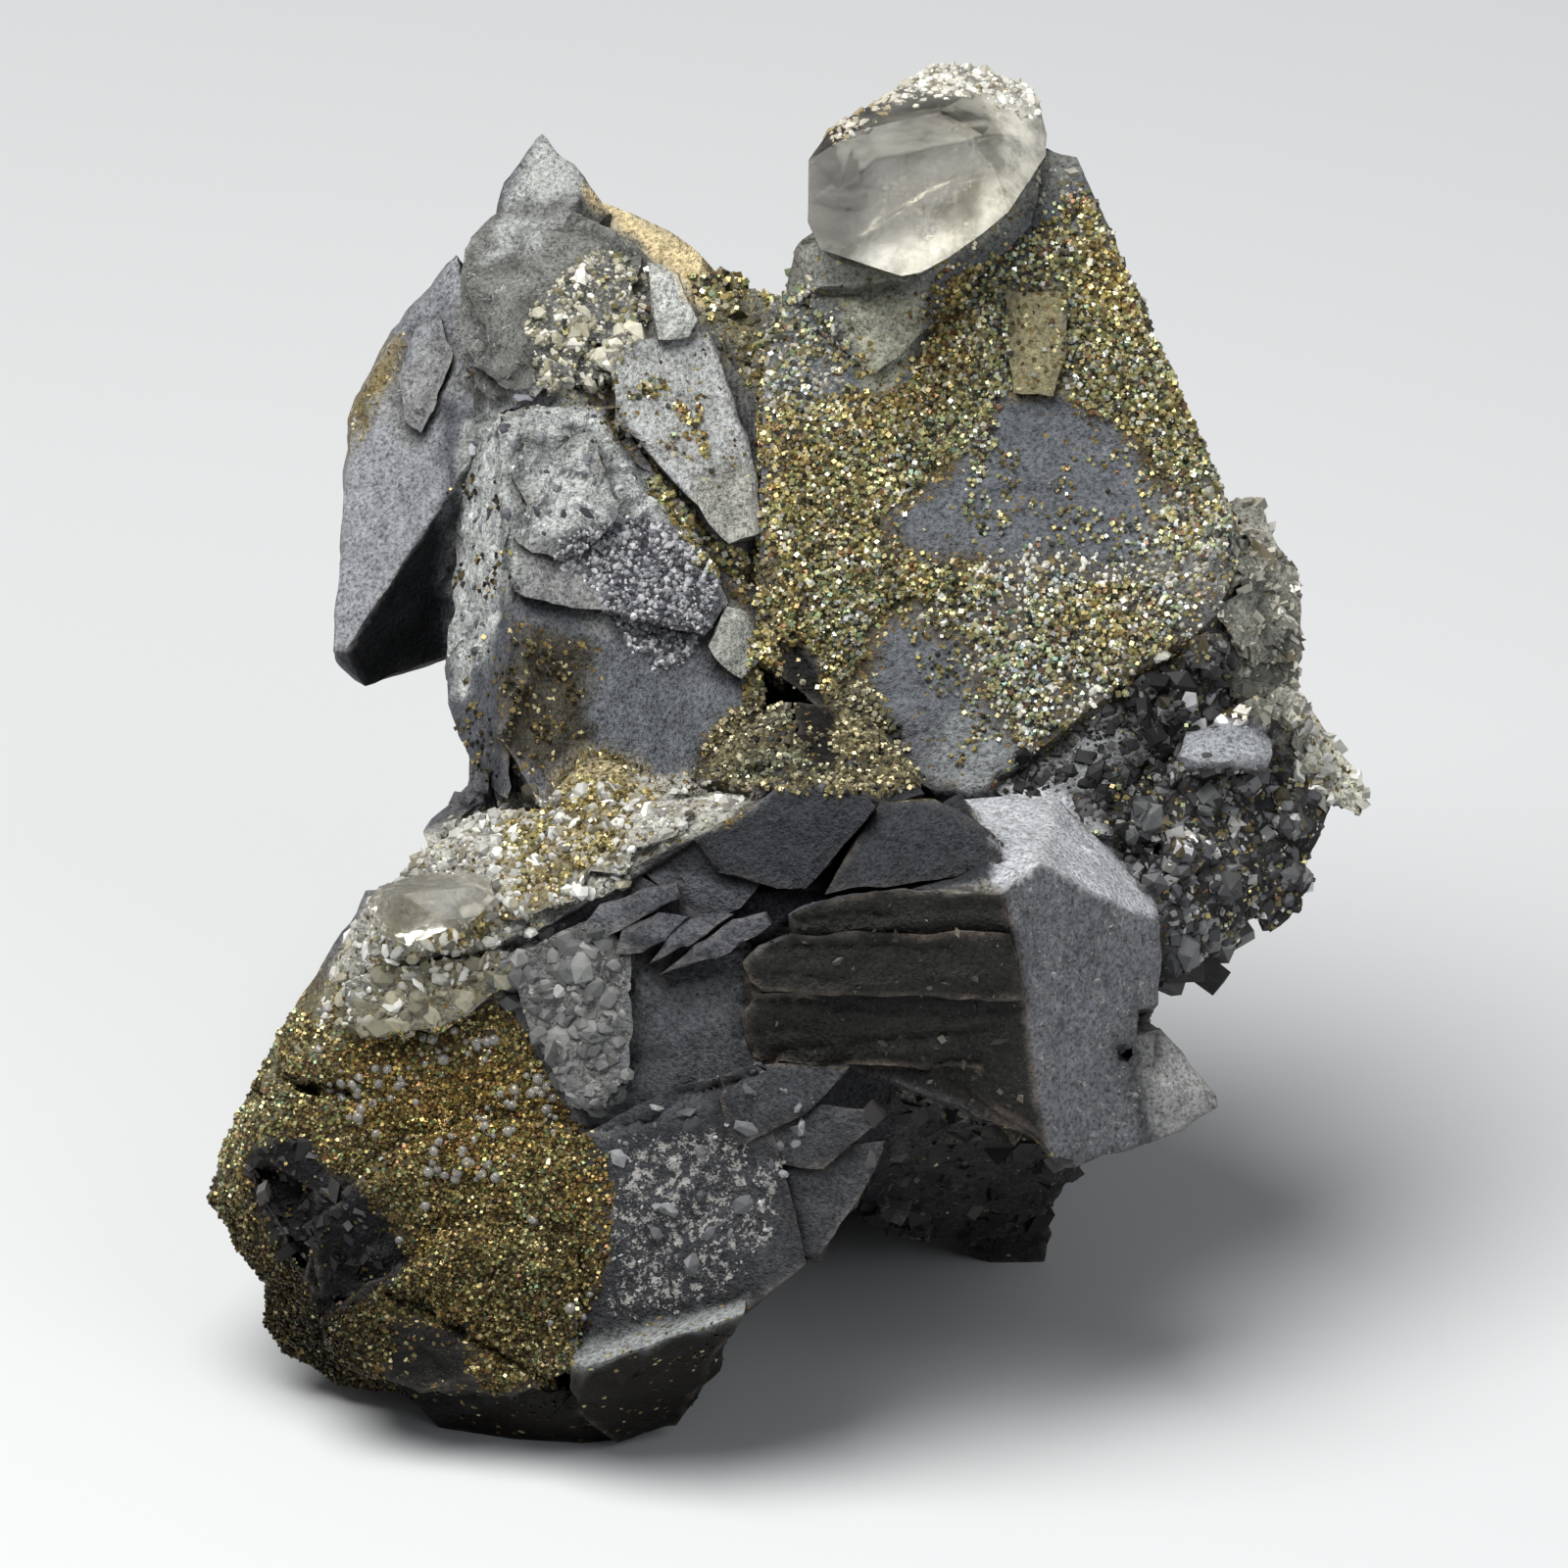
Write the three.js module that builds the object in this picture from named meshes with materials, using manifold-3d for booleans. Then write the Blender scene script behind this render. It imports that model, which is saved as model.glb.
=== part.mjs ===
// A calcite and pyrite cluster: blocky grey calcite crystals grown together on a rough druse matrix,
// one clear calcite crystal perched on the tallest, and crusts of fine pyrite on the faces.
// Corners are given as seen from the front: [right, up, near], in millimetres from the middle of the
// view. The group then leans back by the angle of the view, so that the cluster stands on its feet.
import * as THREE from "three";
import { ConvexGeometry } from "three/addons/geometries/ConvexGeometry.js";
import { mergeVertices } from "three/addons/utils/BufferGeometryUtils.js";
import Module from "manifold-3d";

const wasm = await Module();
wasm.setup();

// Driving dimensions, in millimetres and degrees
const lean = THREE.MathUtils.degToRad(24); // how far above level the front is seen from
const floorLevel = -31.2; // the feet, below the middle of the view
const plateStep = 0.8; // how far one growth plate stands out over the next
const overgrowth = 1.1; // thickness of the pale second growth of calcite
const druseSize = 1.7; // a small crystal of the matrix, across
const pyriteSize = 0.8; // a pyrite cube that stands out of its crust
const crustGap = 0.3; // clear space under a crust or a perched crystal
const crustThickness = 0.7; // pyrite crust, at its thickest
const sheetPitch = 1.7; // between the bumps of a crust or a rough growth
const finest = 0.07; // edges and steps smaller than this are left out

const greyCalcite = new THREE.MeshStandardMaterial({ color: 0x74777c, roughness: 0.75, metalness: 0 });
const clearCalcite = new THREE.MeshStandardMaterial({
  color: 0xd9d6c6,
  roughness: 0.15,
  metalness: 0,
  transparent: true,
  opacity: 0.5,
});
const pyrite = new THREE.MeshStandardMaterial({ color: 0x8f7a3c, roughness: 0.45, metalness: 0.8 });

// A repeatable stream of numbers from 0 to 1
function stream(seed) {
  let state = seed;
  return () => {
    state = (Math.imul(state, 1664525) + 1013904223) >>> 0;
    return state / 2 ** 32;
  };
}

function solidOf(geometry) {
  const bare = geometry.index ? geometry.toNonIndexed() : geometry.clone();
  bare.deleteAttribute("normal");
  bare.deleteAttribute("uv");
  const merged = mergeVertices(bare, 1e-4);
  return new wasm.Manifold(
    new wasm.Mesh({
      numProp: 3,
      vertProperties: merged.attributes.position.array,
      triVerts: new Uint32Array(merged.index.array),
    }),
  );
}

// How near the surface of a solid comes at a place in the view
function reachOf(solid) {
  const { vertProperties, triVerts } = solid.getMesh();
  const corner = (i) => Array.from(vertProperties.subarray(3 * triVerts[i], 3 * triVerts[i] + 3));
  const facets = [];
  for (let i = 0; i < triVerts.length; i += 3) {
    const [a, b, c] = [corner(i), corner(i + 1), corner(i + 2)];
    const area = (b[0] - a[0]) * (c[1] - a[1]) - (c[0] - a[0]) * (b[1] - a[1]);
    if (area > 1e-6) facets.push({ a, b, c, area });
  }
  return (right, up) => {
    let nearest;
    for (const { a, b, c, area } of facets) {
      const s = ((right - a[0]) * (c[1] - a[1]) - (c[0] - a[0]) * (up - a[1])) / area;
      const t = ((b[0] - a[0]) * (up - a[1]) - (right - a[0]) * (b[1] - a[1])) / area;
      if (s < 0 || t < 0 || s + t > 1) continue;
      const near = a[2] + s * (b[2] - a[2]) + t * (c[2] - a[2]);
      if (nearest === undefined || near > nearest) nearest = near;
    }
    return nearest;
  };
}

function contains(outline, right, up) {
  let inside = false;
  outline.forEach(([x, y], i) => {
    const [fromX, fromY] = outline[(i + outline.length - 1) % outline.length];
    const crosses = y > up !== fromY > up && right < ((fromX - x) * (up - y)) / (fromY - y) + x;
    if (crosses) inside = !inside;
  });
  return inside;
}

// The sides of facets that no other facet shares
function rimOf(facets) {
  const sides = new Map();
  for (const [a, b, c] of facets) {
    for (const [from, to] of [[a, b], [b, c], [c, a]]) sides.set(`${from},${to}`, [from, to]);
  }
  return [...sides.values()].filter(([from, to]) => !sides.has(`${to},${from}`));
}

function pinchedIn(rim) {
  const starts = rim.map(([from]) => from);
  return new Set(starts.filter((node, i) => starts.indexOf(node) !== i));
}

// A rough sheet draped over a surface within an outline: its underside lies lift above the surface,
// and its bumps rise from low to high over that
function drape(reach, outline, { lift, low, high, pitch = sheetPitch, seed, steepest = 1.6 }) {
  const random = stream(seed);
  const [rights, ups] = [0, 1].map((axis) => outline.map((corner) => corner[axis]));
  const nodes = new Map();
  const rows = Math.ceil((Math.max(...ups) - Math.min(...ups)) / (pitch * 0.866)) + 1;
  const columns = Math.ceil((Math.max(...rights) - Math.min(...rights)) / pitch) + 2;
  for (let row = 0; row < rows; row += 1) {
    for (let column = 0; column < columns; column += 1) {
      const shift = () => (random() - 0.5) * pitch * 0.5;
      const right = Math.min(...rights) + (column - (row % 2) / 2) * pitch + shift();
      const up = Math.min(...ups) + row * pitch * 0.866 + shift();
      const bump = low + (high - low) * random();
      const near = contains(outline, right, up) ? reach(right, up) : undefined;
      if (near !== undefined) nodes.set(`${row},${column}`, { right, up, near, bump });
    }
  }
  const index = new Map([...nodes.keys()].map((key, place) => [key, place]));
  const flat = [...nodes.values()];
  const facets = [];
  for (let row = 0; row < rows - 1; row += 1) {
    for (let column = 0; column < columns - 1; column += 1) {
      const [a, b] = [`${row},${column}`, `${row},${column + 1}`];
      const [c, d] = [`${row + 1},${column}`, `${row + 1},${column + 1}`];
      const pair = row % 2 ? [[a, b, c], [b, d, c]] : [[a, b, d], [a, d, c]];
      for (const keys of pair) {
        if (!keys.every((key) => index.has(key))) continue;
        const nears = keys.map((key) => nodes.get(key).near);
        if (Math.max(...nears) - Math.min(...nears) > steepest * pitch) continue;
        facets.push(keys.map((key) => index.get(key)));
      }
    }
  }
  // A sheet that meets itself in a single point isn't solid there: such points are opened up
  let rim = rimOf(facets);
  let kept = facets;
  for (let pinched = pinchedIn(rim); pinched.size; pinched = pinchedIn(rim)) {
    kept = kept.filter((facet) => !facet.some((node) => pinched.has(node)));
    rim = rimOf(kept);
  }
  const count = flat.length;
  const triangles = kept.flatMap(([a, b, c]) => [a, b, c, c + count, b + count, a + count]);
  for (const [from, to] of rim) {
    triangles.push(from, from + count, to, to, from + count, to + count);
  }
  const top = flat.flatMap(({ right, up, near, bump }) => [right, up, near + lift + bump]);
  const bottom = flat.flatMap(({ right, up, near }) => [right, up, near + lift]);
  const used = [...new Set(triangles)].sort((a, b) => a - b);
  const renumber = new Map(used.map((from, to) => [from, to]));
  const position = [...top, ...bottom];
  return new wasm.Manifold(
    new wasm.Mesh({
      numProp: 3,
      vertProperties: Float32Array.from(used.flatMap((i) => position.slice(3 * i, 3 * i + 3))),
      triVerts: Uint32Array.from(triangles.map((i) => renumber.get(i))),
    }),
  );
}

function geometryOf(solid) {
  const mesh = solid.getMesh();
  const geometry = new THREE.BufferGeometry();
  geometry.setAttribute("position", new THREE.BufferAttribute(mesh.vertProperties, 3));
  geometry.setIndex(new THREE.BufferAttribute(mesh.triVerts, 1));
  const faceted = geometry.toNonIndexed();
  faceted.computeVertexNormals();
  return faceted;
}

function hullGeometry(corners) {
  return new ConvexGeometry(corners.map((corner) => new THREE.Vector3(...corner)));
}

function crystal(...corners) {
  return solidOf(hullGeometry(corners));
}

function fuse(solids) {
  return solids.reduce((whole, piece) => whole.add(piece));
}

function largest(solid) {
  return solid.decompose().reduce((best, body) => (body.volume() > best.volume() ? body : best));
}

// A crystal face through three corners: gives the corner of that face at a place in the view
function face(a, b, c) {
  const plane = new THREE.Plane().setFromCoplanarPoints(
    new THREE.Vector3(...a),
    new THREE.Vector3(...b),
    new THREE.Vector3(...c),
  );
  const { normal, constant } = plane;
  return (right, up, proud = 0) => {
    const near = -(constant + normal.x * right + normal.y * up) / normal.z;
    return [right, up, near + proud];
  };
}

// A plate that lies on a face: its outline in the view, and how far it stands out and reaches in
function plate(onFace, outline, proud, depth) {
  const front = outline.map(([right, up, extra = 0]) => onFace(right, up, proud + extra));
  const back = outline.map(([right, up]) => onFace(right, up, proud - depth));
  return crystal(...front, ...back);
}

// A dogtooth crystal: a point at each end and a zigzag girdle of six corners between
function dogtooth(foot, tip, width, girdle, turn) {
  const start = new THREE.Vector3(...foot);
  const axis = new THREE.Vector3(...tip).sub(start);
  const length = axis.length();
  const pose = new THREE.Quaternion().setFromUnitVectors(new THREE.Vector3(0, 1, 0), axis.normalize());
  const corners = [foot, tip];
  for (let side = 0; side < 6; side += 1) {
    const angle = turn + (side * Math.PI) / 3;
    const zigzag = side % 2 ? 0.07 : -0.07;
    const radius = (width / 2) * (side % 2 ? 0.88 : 1);
    const corner = new THREE.Vector3(Math.cos(angle) * radius, 0, Math.sin(angle) * radius);
    corner.y = length * (girdle + zigzag);
    corners.push(corner.applyQuaternion(pose).add(start).toArray());
  }
  return crystal(...corners);
}

// A small block-shaped crystal, turned at random
function block(random, centre, size) {
  const stretch = new THREE.Vector3(1, 0.75 + 0.5 * random(), 0.6 + 0.5 * random());
  const turn = new THREE.Euler(random() * Math.PI, random() * Math.PI, random() * Math.PI);
  const pose = new THREE.Matrix4().compose(
    new THREE.Vector3(...centre),
    new THREE.Quaternion().setFromEuler(turn),
    stretch.multiplyScalar(size),
  );
  return solidOf(new THREE.BoxGeometry(1, 1, 1).applyMatrix4(pose));
}

// Random spots on a hull's faces, shared out by area, where keep allows them
function spotsOn(corners, count, random, keep = () => true) {
  const position = hullGeometry(corners).getAttribute("position");
  const triangles = [];
  let area = 0;
  for (let i = 0; i < position.count; i += 3) {
    const corner = [0, 1, 2].map((k) => new THREE.Vector3().fromBufferAttribute(position, i + k));
    const triangle = new THREE.Triangle(...corner);
    area += triangle.getArea();
    triangles.push({ triangle, upTo: area });
  }
  const spots = [];
  for (let tries = 0; spots.length < count && tries < count * 30; tries += 1) {
    const pick = random() * area;
    const { triangle } = triangles.find(({ upTo }) => upTo >= pick);
    const [u, v] = [random(), random()];
    const [s, t] = u + v > 1 ? [1 - u, 1 - v] : [u, v];
    const spot = triangle.a
      .clone()
      .addScaledVector(triangle.b.clone().sub(triangle.a), s)
      .addScaledVector(triangle.c.clone().sub(triangle.a), t);
    const facing = triangle.getNormal(new THREE.Vector3());
    if (keep(spot, facing)) spots.push(spot.toArray());
  }
  return spots;
}

function druse(corners, count, seed, size = druseSize, keep = undefined) {
  const random = stream(seed);
  const spots = spotsOn(corners, count, random, keep);
  return spots.map((spot) => block(random, spot, size * (0.6 + 0.8 * random())));
}

// The faces that the view shows, each through three of its corners
const tallFace = face([15.4, 35.2, -8.5], [24.8, 14.8, -2.6], [10.8, -0.3, 1]);
const spireFace = face([-14.5, 10, 3], [-1, 6, -2], [-8, 28, -7]);
const leftFace = face([-18.2, 29.5, -14], [-24.4, 7.3, -7], [-17.5, 17.7, -7]);
const frontFace = face([-13, -7, 11], [-28, -20, 6], [-8, -33, 12]);
const darkFace = face([12, -6, 18], [-2, -9.7, 16], [14, -19.5, 13]);
const greyFace = face([12, -6, 18], [14.2, -19.5, 13], [20.6, -9, 10]);
const terraceFace = face([-7.5, -4.8, 12.2], [4.5, -0.8, 14.6], [1.2, -5.7, 14]);
const stepFace = face([5.2, -1, 13.6], [11.8, -3.4, 14.6], [5, -5.2, 15]);

// The tallest crystal, at the right: its wide front face carries the main pyrite crust
function tallCrystal() {
  const front = [
    [-1.5, 7],
    [-1.2, 20.5],
    [0.6, 29.7],
    [5, 33.5],
    [14.6, 35.3],
    [16.2, 34.8],
    [18.9, 28.8],
    [24.9, 14.8],
    [24.3, 9.5],
    [10.8, -0.3],
    [8.3, -0.4],
  ].map(([right, up]) => tallFace(right, up));
  const behind = [
    [14, 34, -15],
    [5, 31, -21],
    [-2, 20, -18],
    [12, 24, -23],
    [25.6, 12, -13],
    [25.5, 4, -11],
    [20, -7, -10],
    [12, -6, -6],
    [0, 4, -16],
    [16, 8, -25],
  ];
  return [crystal(...front, ...behind)];
}

// The spire at the left of the valley, with the pale growth and the sliver that lie on its face
function spireCrystal() {
  const body = crystal(
    spireFace(-15, 9.8),
    spireFace(-15.6, 3),
    spireFace(-13, -1.8),
    spireFace(-4, -1),
    spireFace(-1.2, 4),
    spireFace(-1.2, 20.8),
    spireFace(-3.4, 24.2),
    spireFace(-5.2, 27),
    spireFace(-9, 28.5),
    spireFace(-14, 27),
    [-17.2, 0.8, -4],
    [-18.7, 6, -7],
    [-18.2, 13, -8.5],
    [-17.7, 20, -10],
    [-14, 26, -19],
    [-6, 24, -21],
    [-4, 4, -18],
    [-16, 4, -17],
  );
  const point = crystal(
    [-13.5, 36.1, -12],
    [-14.4, 35, -11],
    [-15.6, 33.5, -11],
    [-16, 31.5, -10.5],
    [-13, 32, -9],
    [-11, 33.6, -10.5],
    [-9.8, 31.8, -11],
    [-16, 29, -15],
    [-9.5, 29, -16],
    [-12, 34, -15],
    [-12, 29, -8],
  );
  const cap = crystal(
    [-17.6, 30.3, -9.5],
    [-17.9, 27, -8],
    [-17.8, 23, -7],
    [-16.4, 21.6, -5],
    [-13, 21.8, -1.6],
    [-10, 22.5, -3],
    [-7.5, 24.9, -5.6],
    [-5.6, 25, -7],
    [-6, 28, -8],
    [-9.5, 30.5, -8.6],
    [-12, 32, -9],
    [-16, 31.6, -10],
    [-16, 30, -17],
    [-8, 28, -17],
    [-16, 22, -13],
  );
  const cover = plate(
    spireFace,
    [
      [-15.6, 20.5],
      [-9.2, 21],
      [-8.3, 17.8],
      [-5.3, 14.9],
      [-3.6, 11.5],
      [-2.9, 9.9],
      [-4.3, 8.3],
      [-8.5, 9.1],
      [-14.6, 10.4],
      [-15.4, 13],
    ],
    overgrowth,
    3,
  );
  const sliver = plate(
    spireFace,
    [
      [-9.9, 24.4],
      [-4.2, 25],
      [-3.3, 23.2],
      [-2.6, 20],
      [-1.4, 16.5],
      [-1.3, 13.9, 0.5],
      [-3.1, 13.3, 0.5],
      [-5, 15.6],
      [-8.9, 19.6],
    ],
    overgrowth + 0.7,
    3.4,
  );
  const window = plate(
    spireFace,
    [
      [-7.5, 28.7],
      [-5.9, 28.2],
      [-4.9, 25.8],
      [-5.2, 24.8],
      [-6.9, 24.7],
      [-7.3, 26.5],
    ],
    overgrowth + 1.6,
    4,
  );
  const pebble = plate(
    spireFace,
    [
      [-2.9, 9.7],
      [-1.5, 9.2],
      [-1.3, 7],
      [-2.1, 5.8],
      [-3, 6.3],
      [-4.1, 7.9],
    ],
    overgrowth + 0.2,
    2.6,
  );
  const heel = crystal(
    spireFace(-15.4, 8, -0.6),
    spireFace(-15, 3, -0.4),
    spireFace(-15.2, -0.6, -0.4),
    [-16.8, 0.2, 1.2],
    [-18.6, 4.4, -3.4],
    [-18.8, 7, -5.4],
    [-17, 9, -2.6],
    [-15, 2, -8],
  );
  return [body, point, cap, cover, sliver, window, pebble, heel];
}

// The crystal at the far left, whose lower face turns into shadow
function leftCrystal() {
  const body = crystal(
    leftFace(-18.2, 29.5),
    leftFace(-21.5, 25.2),
    leftFace(-23.2, 22.4),
    leftFace(-24.1, 20.2),
    leftFace(-25.1, 7.2),
    leftFace(-24.4, 7.3),
    leftFace(-17.3, 18),
    leftFace(-15.5, 23),
    [-23.2, 5.5, -9],
    [-24.4, 6.1, -11],
    [-18.6, 7.2, -13],
    [-15, 8.5, -14],
    [-24.2, 20.6, -17],
    [-22, 25, -20],
    [-16, 27, -22],
    [-15, 8, -21],
    [-23.4, 8, -15],
  );
  const scab = plate(
    leftFace,
    [
      [-20.6, 25.3],
      [-19.2, 26],
      [-18.6, 24],
      [-19.4, 20.6],
      [-20.1, 19.5],
      [-20.9, 20.3],
      [-20.4, 22.3],
      [-21.2, 23.6],
    ],
    0.7,
    2,
  );
  return [body, scab];
}

// The honey-coloured crystal and the dark ridge that close the valley behind
function backRidge() {
  const amber = crystal(
    [-10, 32.3, -15],
    [-8.4, 31.7, -14.5],
    [-6.4, 30.7, -14],
    [-4.7, 29.5, -14],
    [-3.6, 28.2, -14.5],
    [-4, 26, -13],
    [-9, 27, -13],
    [-9.5, 31, -22],
    [-4.5, 28, -22],
    [-8, 24, -21],
  );
  const ridge = [
    [-5.2, 27.6, -13],
    [-2.6, 27.4, -14],
    [0.8, 27.2, -14.5],
    [-3.4, 22.5, -10.5],
    [-1.2, 21.4, -9.5],
    [0.8, 22, -10.5],
    [-5, 26, -23],
    [1, 26, -23],
  ];
  const highEnough = (spot) => spot.z > -18 && spot.x < 0.4 && spot.y > 21.8;
  return [amber, crystal(...ridge), ...druse(ridge, 8, 7, 1.5, highEnough)];
}

// The large front crystal: growth plates that step down its face, and teeth along its right edge
function frontCrystal() {
  const body = crystal(
    frontFace(-14, -8.6, -1),
    frontFace(-22.5, -10, -1),
    frontFace(-26.2, -13.2, -1),
    frontFace(-28.6, -18, -1),
    frontFace(-28.6, -22, -1),
    frontFace(-26, -28, -1),
    frontFace(-16, -32.5, -1.5),
    frontFace(-2.6, -27.5, -1),
    frontFace(0.5, -18, -1),
    frontFace(-1.9, -15, -1),
    frontFace(-1.8, -8.8, -1),
    frontFace(-8, -5, -1),
    [-23, -6, 4],
    [-25, -10, 3.5],
    [-28.5, -15, 1.5],
    [-31, -20, 0.5],
    [-31.5, -22.8, 0],
    [-30, -25.6, -0.5],
    [-28.5, -29.8, 0],
    [-27.4, -31.4, 0],
    [-24.6, -33, 1],
    [-20, -33.8, 2],
    [-14, -35.2, 3],
    [-4, -31.5, 6],
    [-24, -14, -14],
    [-22, -28, -12],
    [-4, -27, -8],
    [2, -18, -4],
    [-4, -4, -6],
  );
  const middleShingle = plate(
    frontFace,
    [
      [-26.2, -24.3, 0.3],
      [-23.6, -22.2, 0.4],
      [-22.3, -20.8, 0.3],
      [-17.5, -18.6],
      [-11.5, -18.8],
      [-11.5, -27],
      [-18, -27],
      [-25.4, -28.4],
    ],
    0,
    3,
  );
  const lowerShingle = plate(
    frontFace,
    [
      [-25.4, -29.4, 0.4],
      [-22.5, -27.2, 0.5],
      [-19.5, -25.5, 0.3],
      [-16, -24.6],
      [-11.5, -25],
      [-11.2, -31.8],
      [-15, -33.6, -0.8],
      [-20, -33.2],
      [-24.4, -31.8],
    ],
    plateStep,
    3.5,
  );
  const flank = plate(
    frontFace,
    [
      [-11.8, -19.6],
      [-9.5, -18.7],
      [-6.5, -16.9],
      [-1.5, -15.2],
      [-0.5, -20],
      [1.2, -26.2],
      [-2.2, -28.9],
      [-11.8, -31.8],
    ],
    0,
    3,
  );
  return [body, middleShingle, lowerShingle, flank, ...teeth(), ...lowerBlock(), ...topBand(), ...leftRidge()];
}

// Three pointed plates at the front crystal's right edge, each over the next
function teeth() {
  const outlines = [
    [[-3.5, -15.9], [-1.5, -15.2], [3.5, -15.4], [1.5, -17.8], [-3, -20]],
    [[-1, -17], [1.9, -17.5], [5.4, -18.1], [5.3, -18.5], [2.2, -20.9], [-2, -21]],
    [[-1, -20.6], [2.3, -20.7], [5.5, -19.5], [5.4, -20], [4.3, -22.2], [1.8, -26], [-2, -25]],
    [[-1, -22.6], [0.8, -22], [3, -22.4], [2, -24.2], [0.2, -26.4], [-2, -26]],
  ];
  return outlines.map((outline, place) => plate(frontFace, outline, 0.15 - 0.3 * place, 2.6));
}

// The brown block under the front crystal, whose pale ledge catches the light
function lowerBlock() {
  const block = crystal(
    frontFace(-11.8, -31.8, 2),
    frontFace(-11, -31.9, 2.2),
    frontFace(-5, -30, 2.1),
    frontFace(-2.2, -28.9, 1.6),
    frontFace(-11.4, -30.9),
    frontFace(-2, -28.1),
    [-11.4, -34.4, 10],
    [-9.2, -36.2, 5.6],
    [-6, -35.2, 5],
    [-4, -32.4, 7],
    [-10, -34, -4],
    [-4, -30, -2],
  );
  const lip = crystal(
    [-22, -31.4, 5],
    [-21, -33.5, 3],
    [-19, -35.4, 3],
    [-15.3, -36.4, 3.4],
    [-11, -36.6, 4],
    [-9, -36.4, 3.6],
    [-11.5, -33.4, 10.4],
    [-18.6, -31.4, 8.4],
    [-19, -33.5, -5],
    [-9, -34.5, -6],
    [-15, -31, 0],
  );
  return [block, lip];
}

// The little dark ridge at the left end of the pale band
function leftRidge() {
  const ridge = [
    [-19.9, -2.6, 5],
    [-19.6, -3.4, 5.4],
    [-18, -1.6, 5],
    [-16.6, -1, 5],
    [-16.2, 0.4, 3],
    [-16.6, 0.8, 0],
    [-19, -2, 2],
    [-15.6, -2, 0],
    [-18, -5, 2],
  ];
  return [crystal(...ridge), ...druse(ridge, 7, 17, 0.9, (spot, facing) => facing.z > 0.2 && spot.y > -3.4)];
}

// The pale band along the top of the front crystal
function topBand() {
  const band = crystal(
    [-22.7, -6.4, 7],
    [-19.8, -3.6, 6.4],
    [-17.5, -2.1, 6.4],
    [-15.6, -1.6, 6.8],
    [-11.5, -1.2, 7.4],
    [-6, -0.9, 8.4],
    [-1, -0.3, 10.8],
    [-0.3, -0.8, 12.8],
    [-4, -2.6, 12.6],
    [-8, -4.4, 12],
    [-12.6, -6.4, 11.4],
    [-13, -7.8, 11.2],
    [-16, -9, 10.4],
    [-22.6, -10.2, 8],
    [-23.8, -8.2, 6],
    [-20, -8, 2],
    [-6, -5, 4],
    [-12, -2.4, 2],
  );
  const clearRim = plate(
    frontFace,
    [
      [-24, -11],
      [-22, -10.2],
      [-15, -9.2],
      [-14.6, -10.6],
      [-17, -12.3],
      [-18.4, -13.3],
      [-20.5, -13.2],
      [-22.4, -13.9],
      [-23.4, -13],
    ],
    0.5,
    2.4,
  );
  const veil = plate(
    frontFace,
    [
      [-14.6, -9.4],
      [-10.5, -7.4],
      [-8.6, -9],
      [-8.5, -12.6],
      [-8.6, -16],
      [-9.6, -17.8],
      [-11.4, -17.6],
      [-12.4, -16],
      [-14.2, -12.4],
    ],
    0.4,
    2.4,
  );
  const mound = crystal(
    [-13, -1.4, 7.4],
    [-12.6, -0.2, 6.8],
    [-11, 1.2, 5.4],
    [-10.4, 1.6, 4.6],
    [-9.6, 0.8, 6],
    [-7.4, 0.3, 6.6],
    [-6.8, -0.8, 8],
    [-9, -1.6, 9.4],
    [-12, -2, 8.6],
    [-12, -1, 2],
    [-8, -1, 3],
  );
  return [band, clearRim, veil, mound];
}

// Flat dark terraces between the front crystal's top and the ridged one
function terraces() {
  const wide = plate(
    terraceFace,
    [[-5, -2.9], [-1.6, -1.5], [-0.3, -0.4], [2, -0.2], [4.5, -0.8], [5, -1.3], [1.2, -5.7], [-0.3, -5.7], [-3.6, -4.8]],
    0,
    5,
  );
  const narrow = plate(
    terraceFace,
    [[-8, -4.3], [-5, -2.9], [-0.9, -4.9], [-2.4, -6.8], [-4, -7.3], [-5, -7], [-6.2, -6.2], [-7.6, -5]],
    -0.5,
    5,
  );
  const step = plate(
    stepFace,
    [[5.3, -0.9], [8.3, -0.9], [11.8, -3.4], [11, -4.8], [8, -5.2], [4.4, -5.4], [2.2, -6], [4.9, -2.2]],
    0,
    7,
  );
  const under = crystal(
    [-9, -5, 9],
    [-1, -6, 12],
    [8, -5.4, 12.6],
    [9, -2, 6],
    [0, -1.6, 8],
    [-8, -3, 7],
    [-4, -10, 10],
    [6, -9, 10],
    [2, -8, 0],
  );
  return [wide, narrow, step, under, ...shards()];
}

// Thin slanting shards under the terraces
function shards() {
  const outlines = [
    [[-11, -7.9], [-10, -6.6], [-8.2, -6], [-5.9, -5.4], [-5.7, -6.3], [-7.4, -7], [-9, -7.9], [-10.4, -8.6]],
    [[-9.4, -9.4], [-8.6, -7.9], [-6.8, -7.1], [-5.2, -7.3], [-6.5, -8.4], [-7.8, -9.2]],
    [[-7.4, -9.8], [-5.6, -7.7], [-4.4, -7.1], [-2.7, -7.1], [-4.9, -8.6]],
    [[-6.7, -10.4], [-2.8, -7.4], [-1, -7], [-0.6, -7.7], [-2.2, -8.7], [-4, -9.5]],
  ];
  return outlines.map((outline, place) => plate(frontFace, outline, 0.9 - 0.15 * place, 2.5));
}

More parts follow.
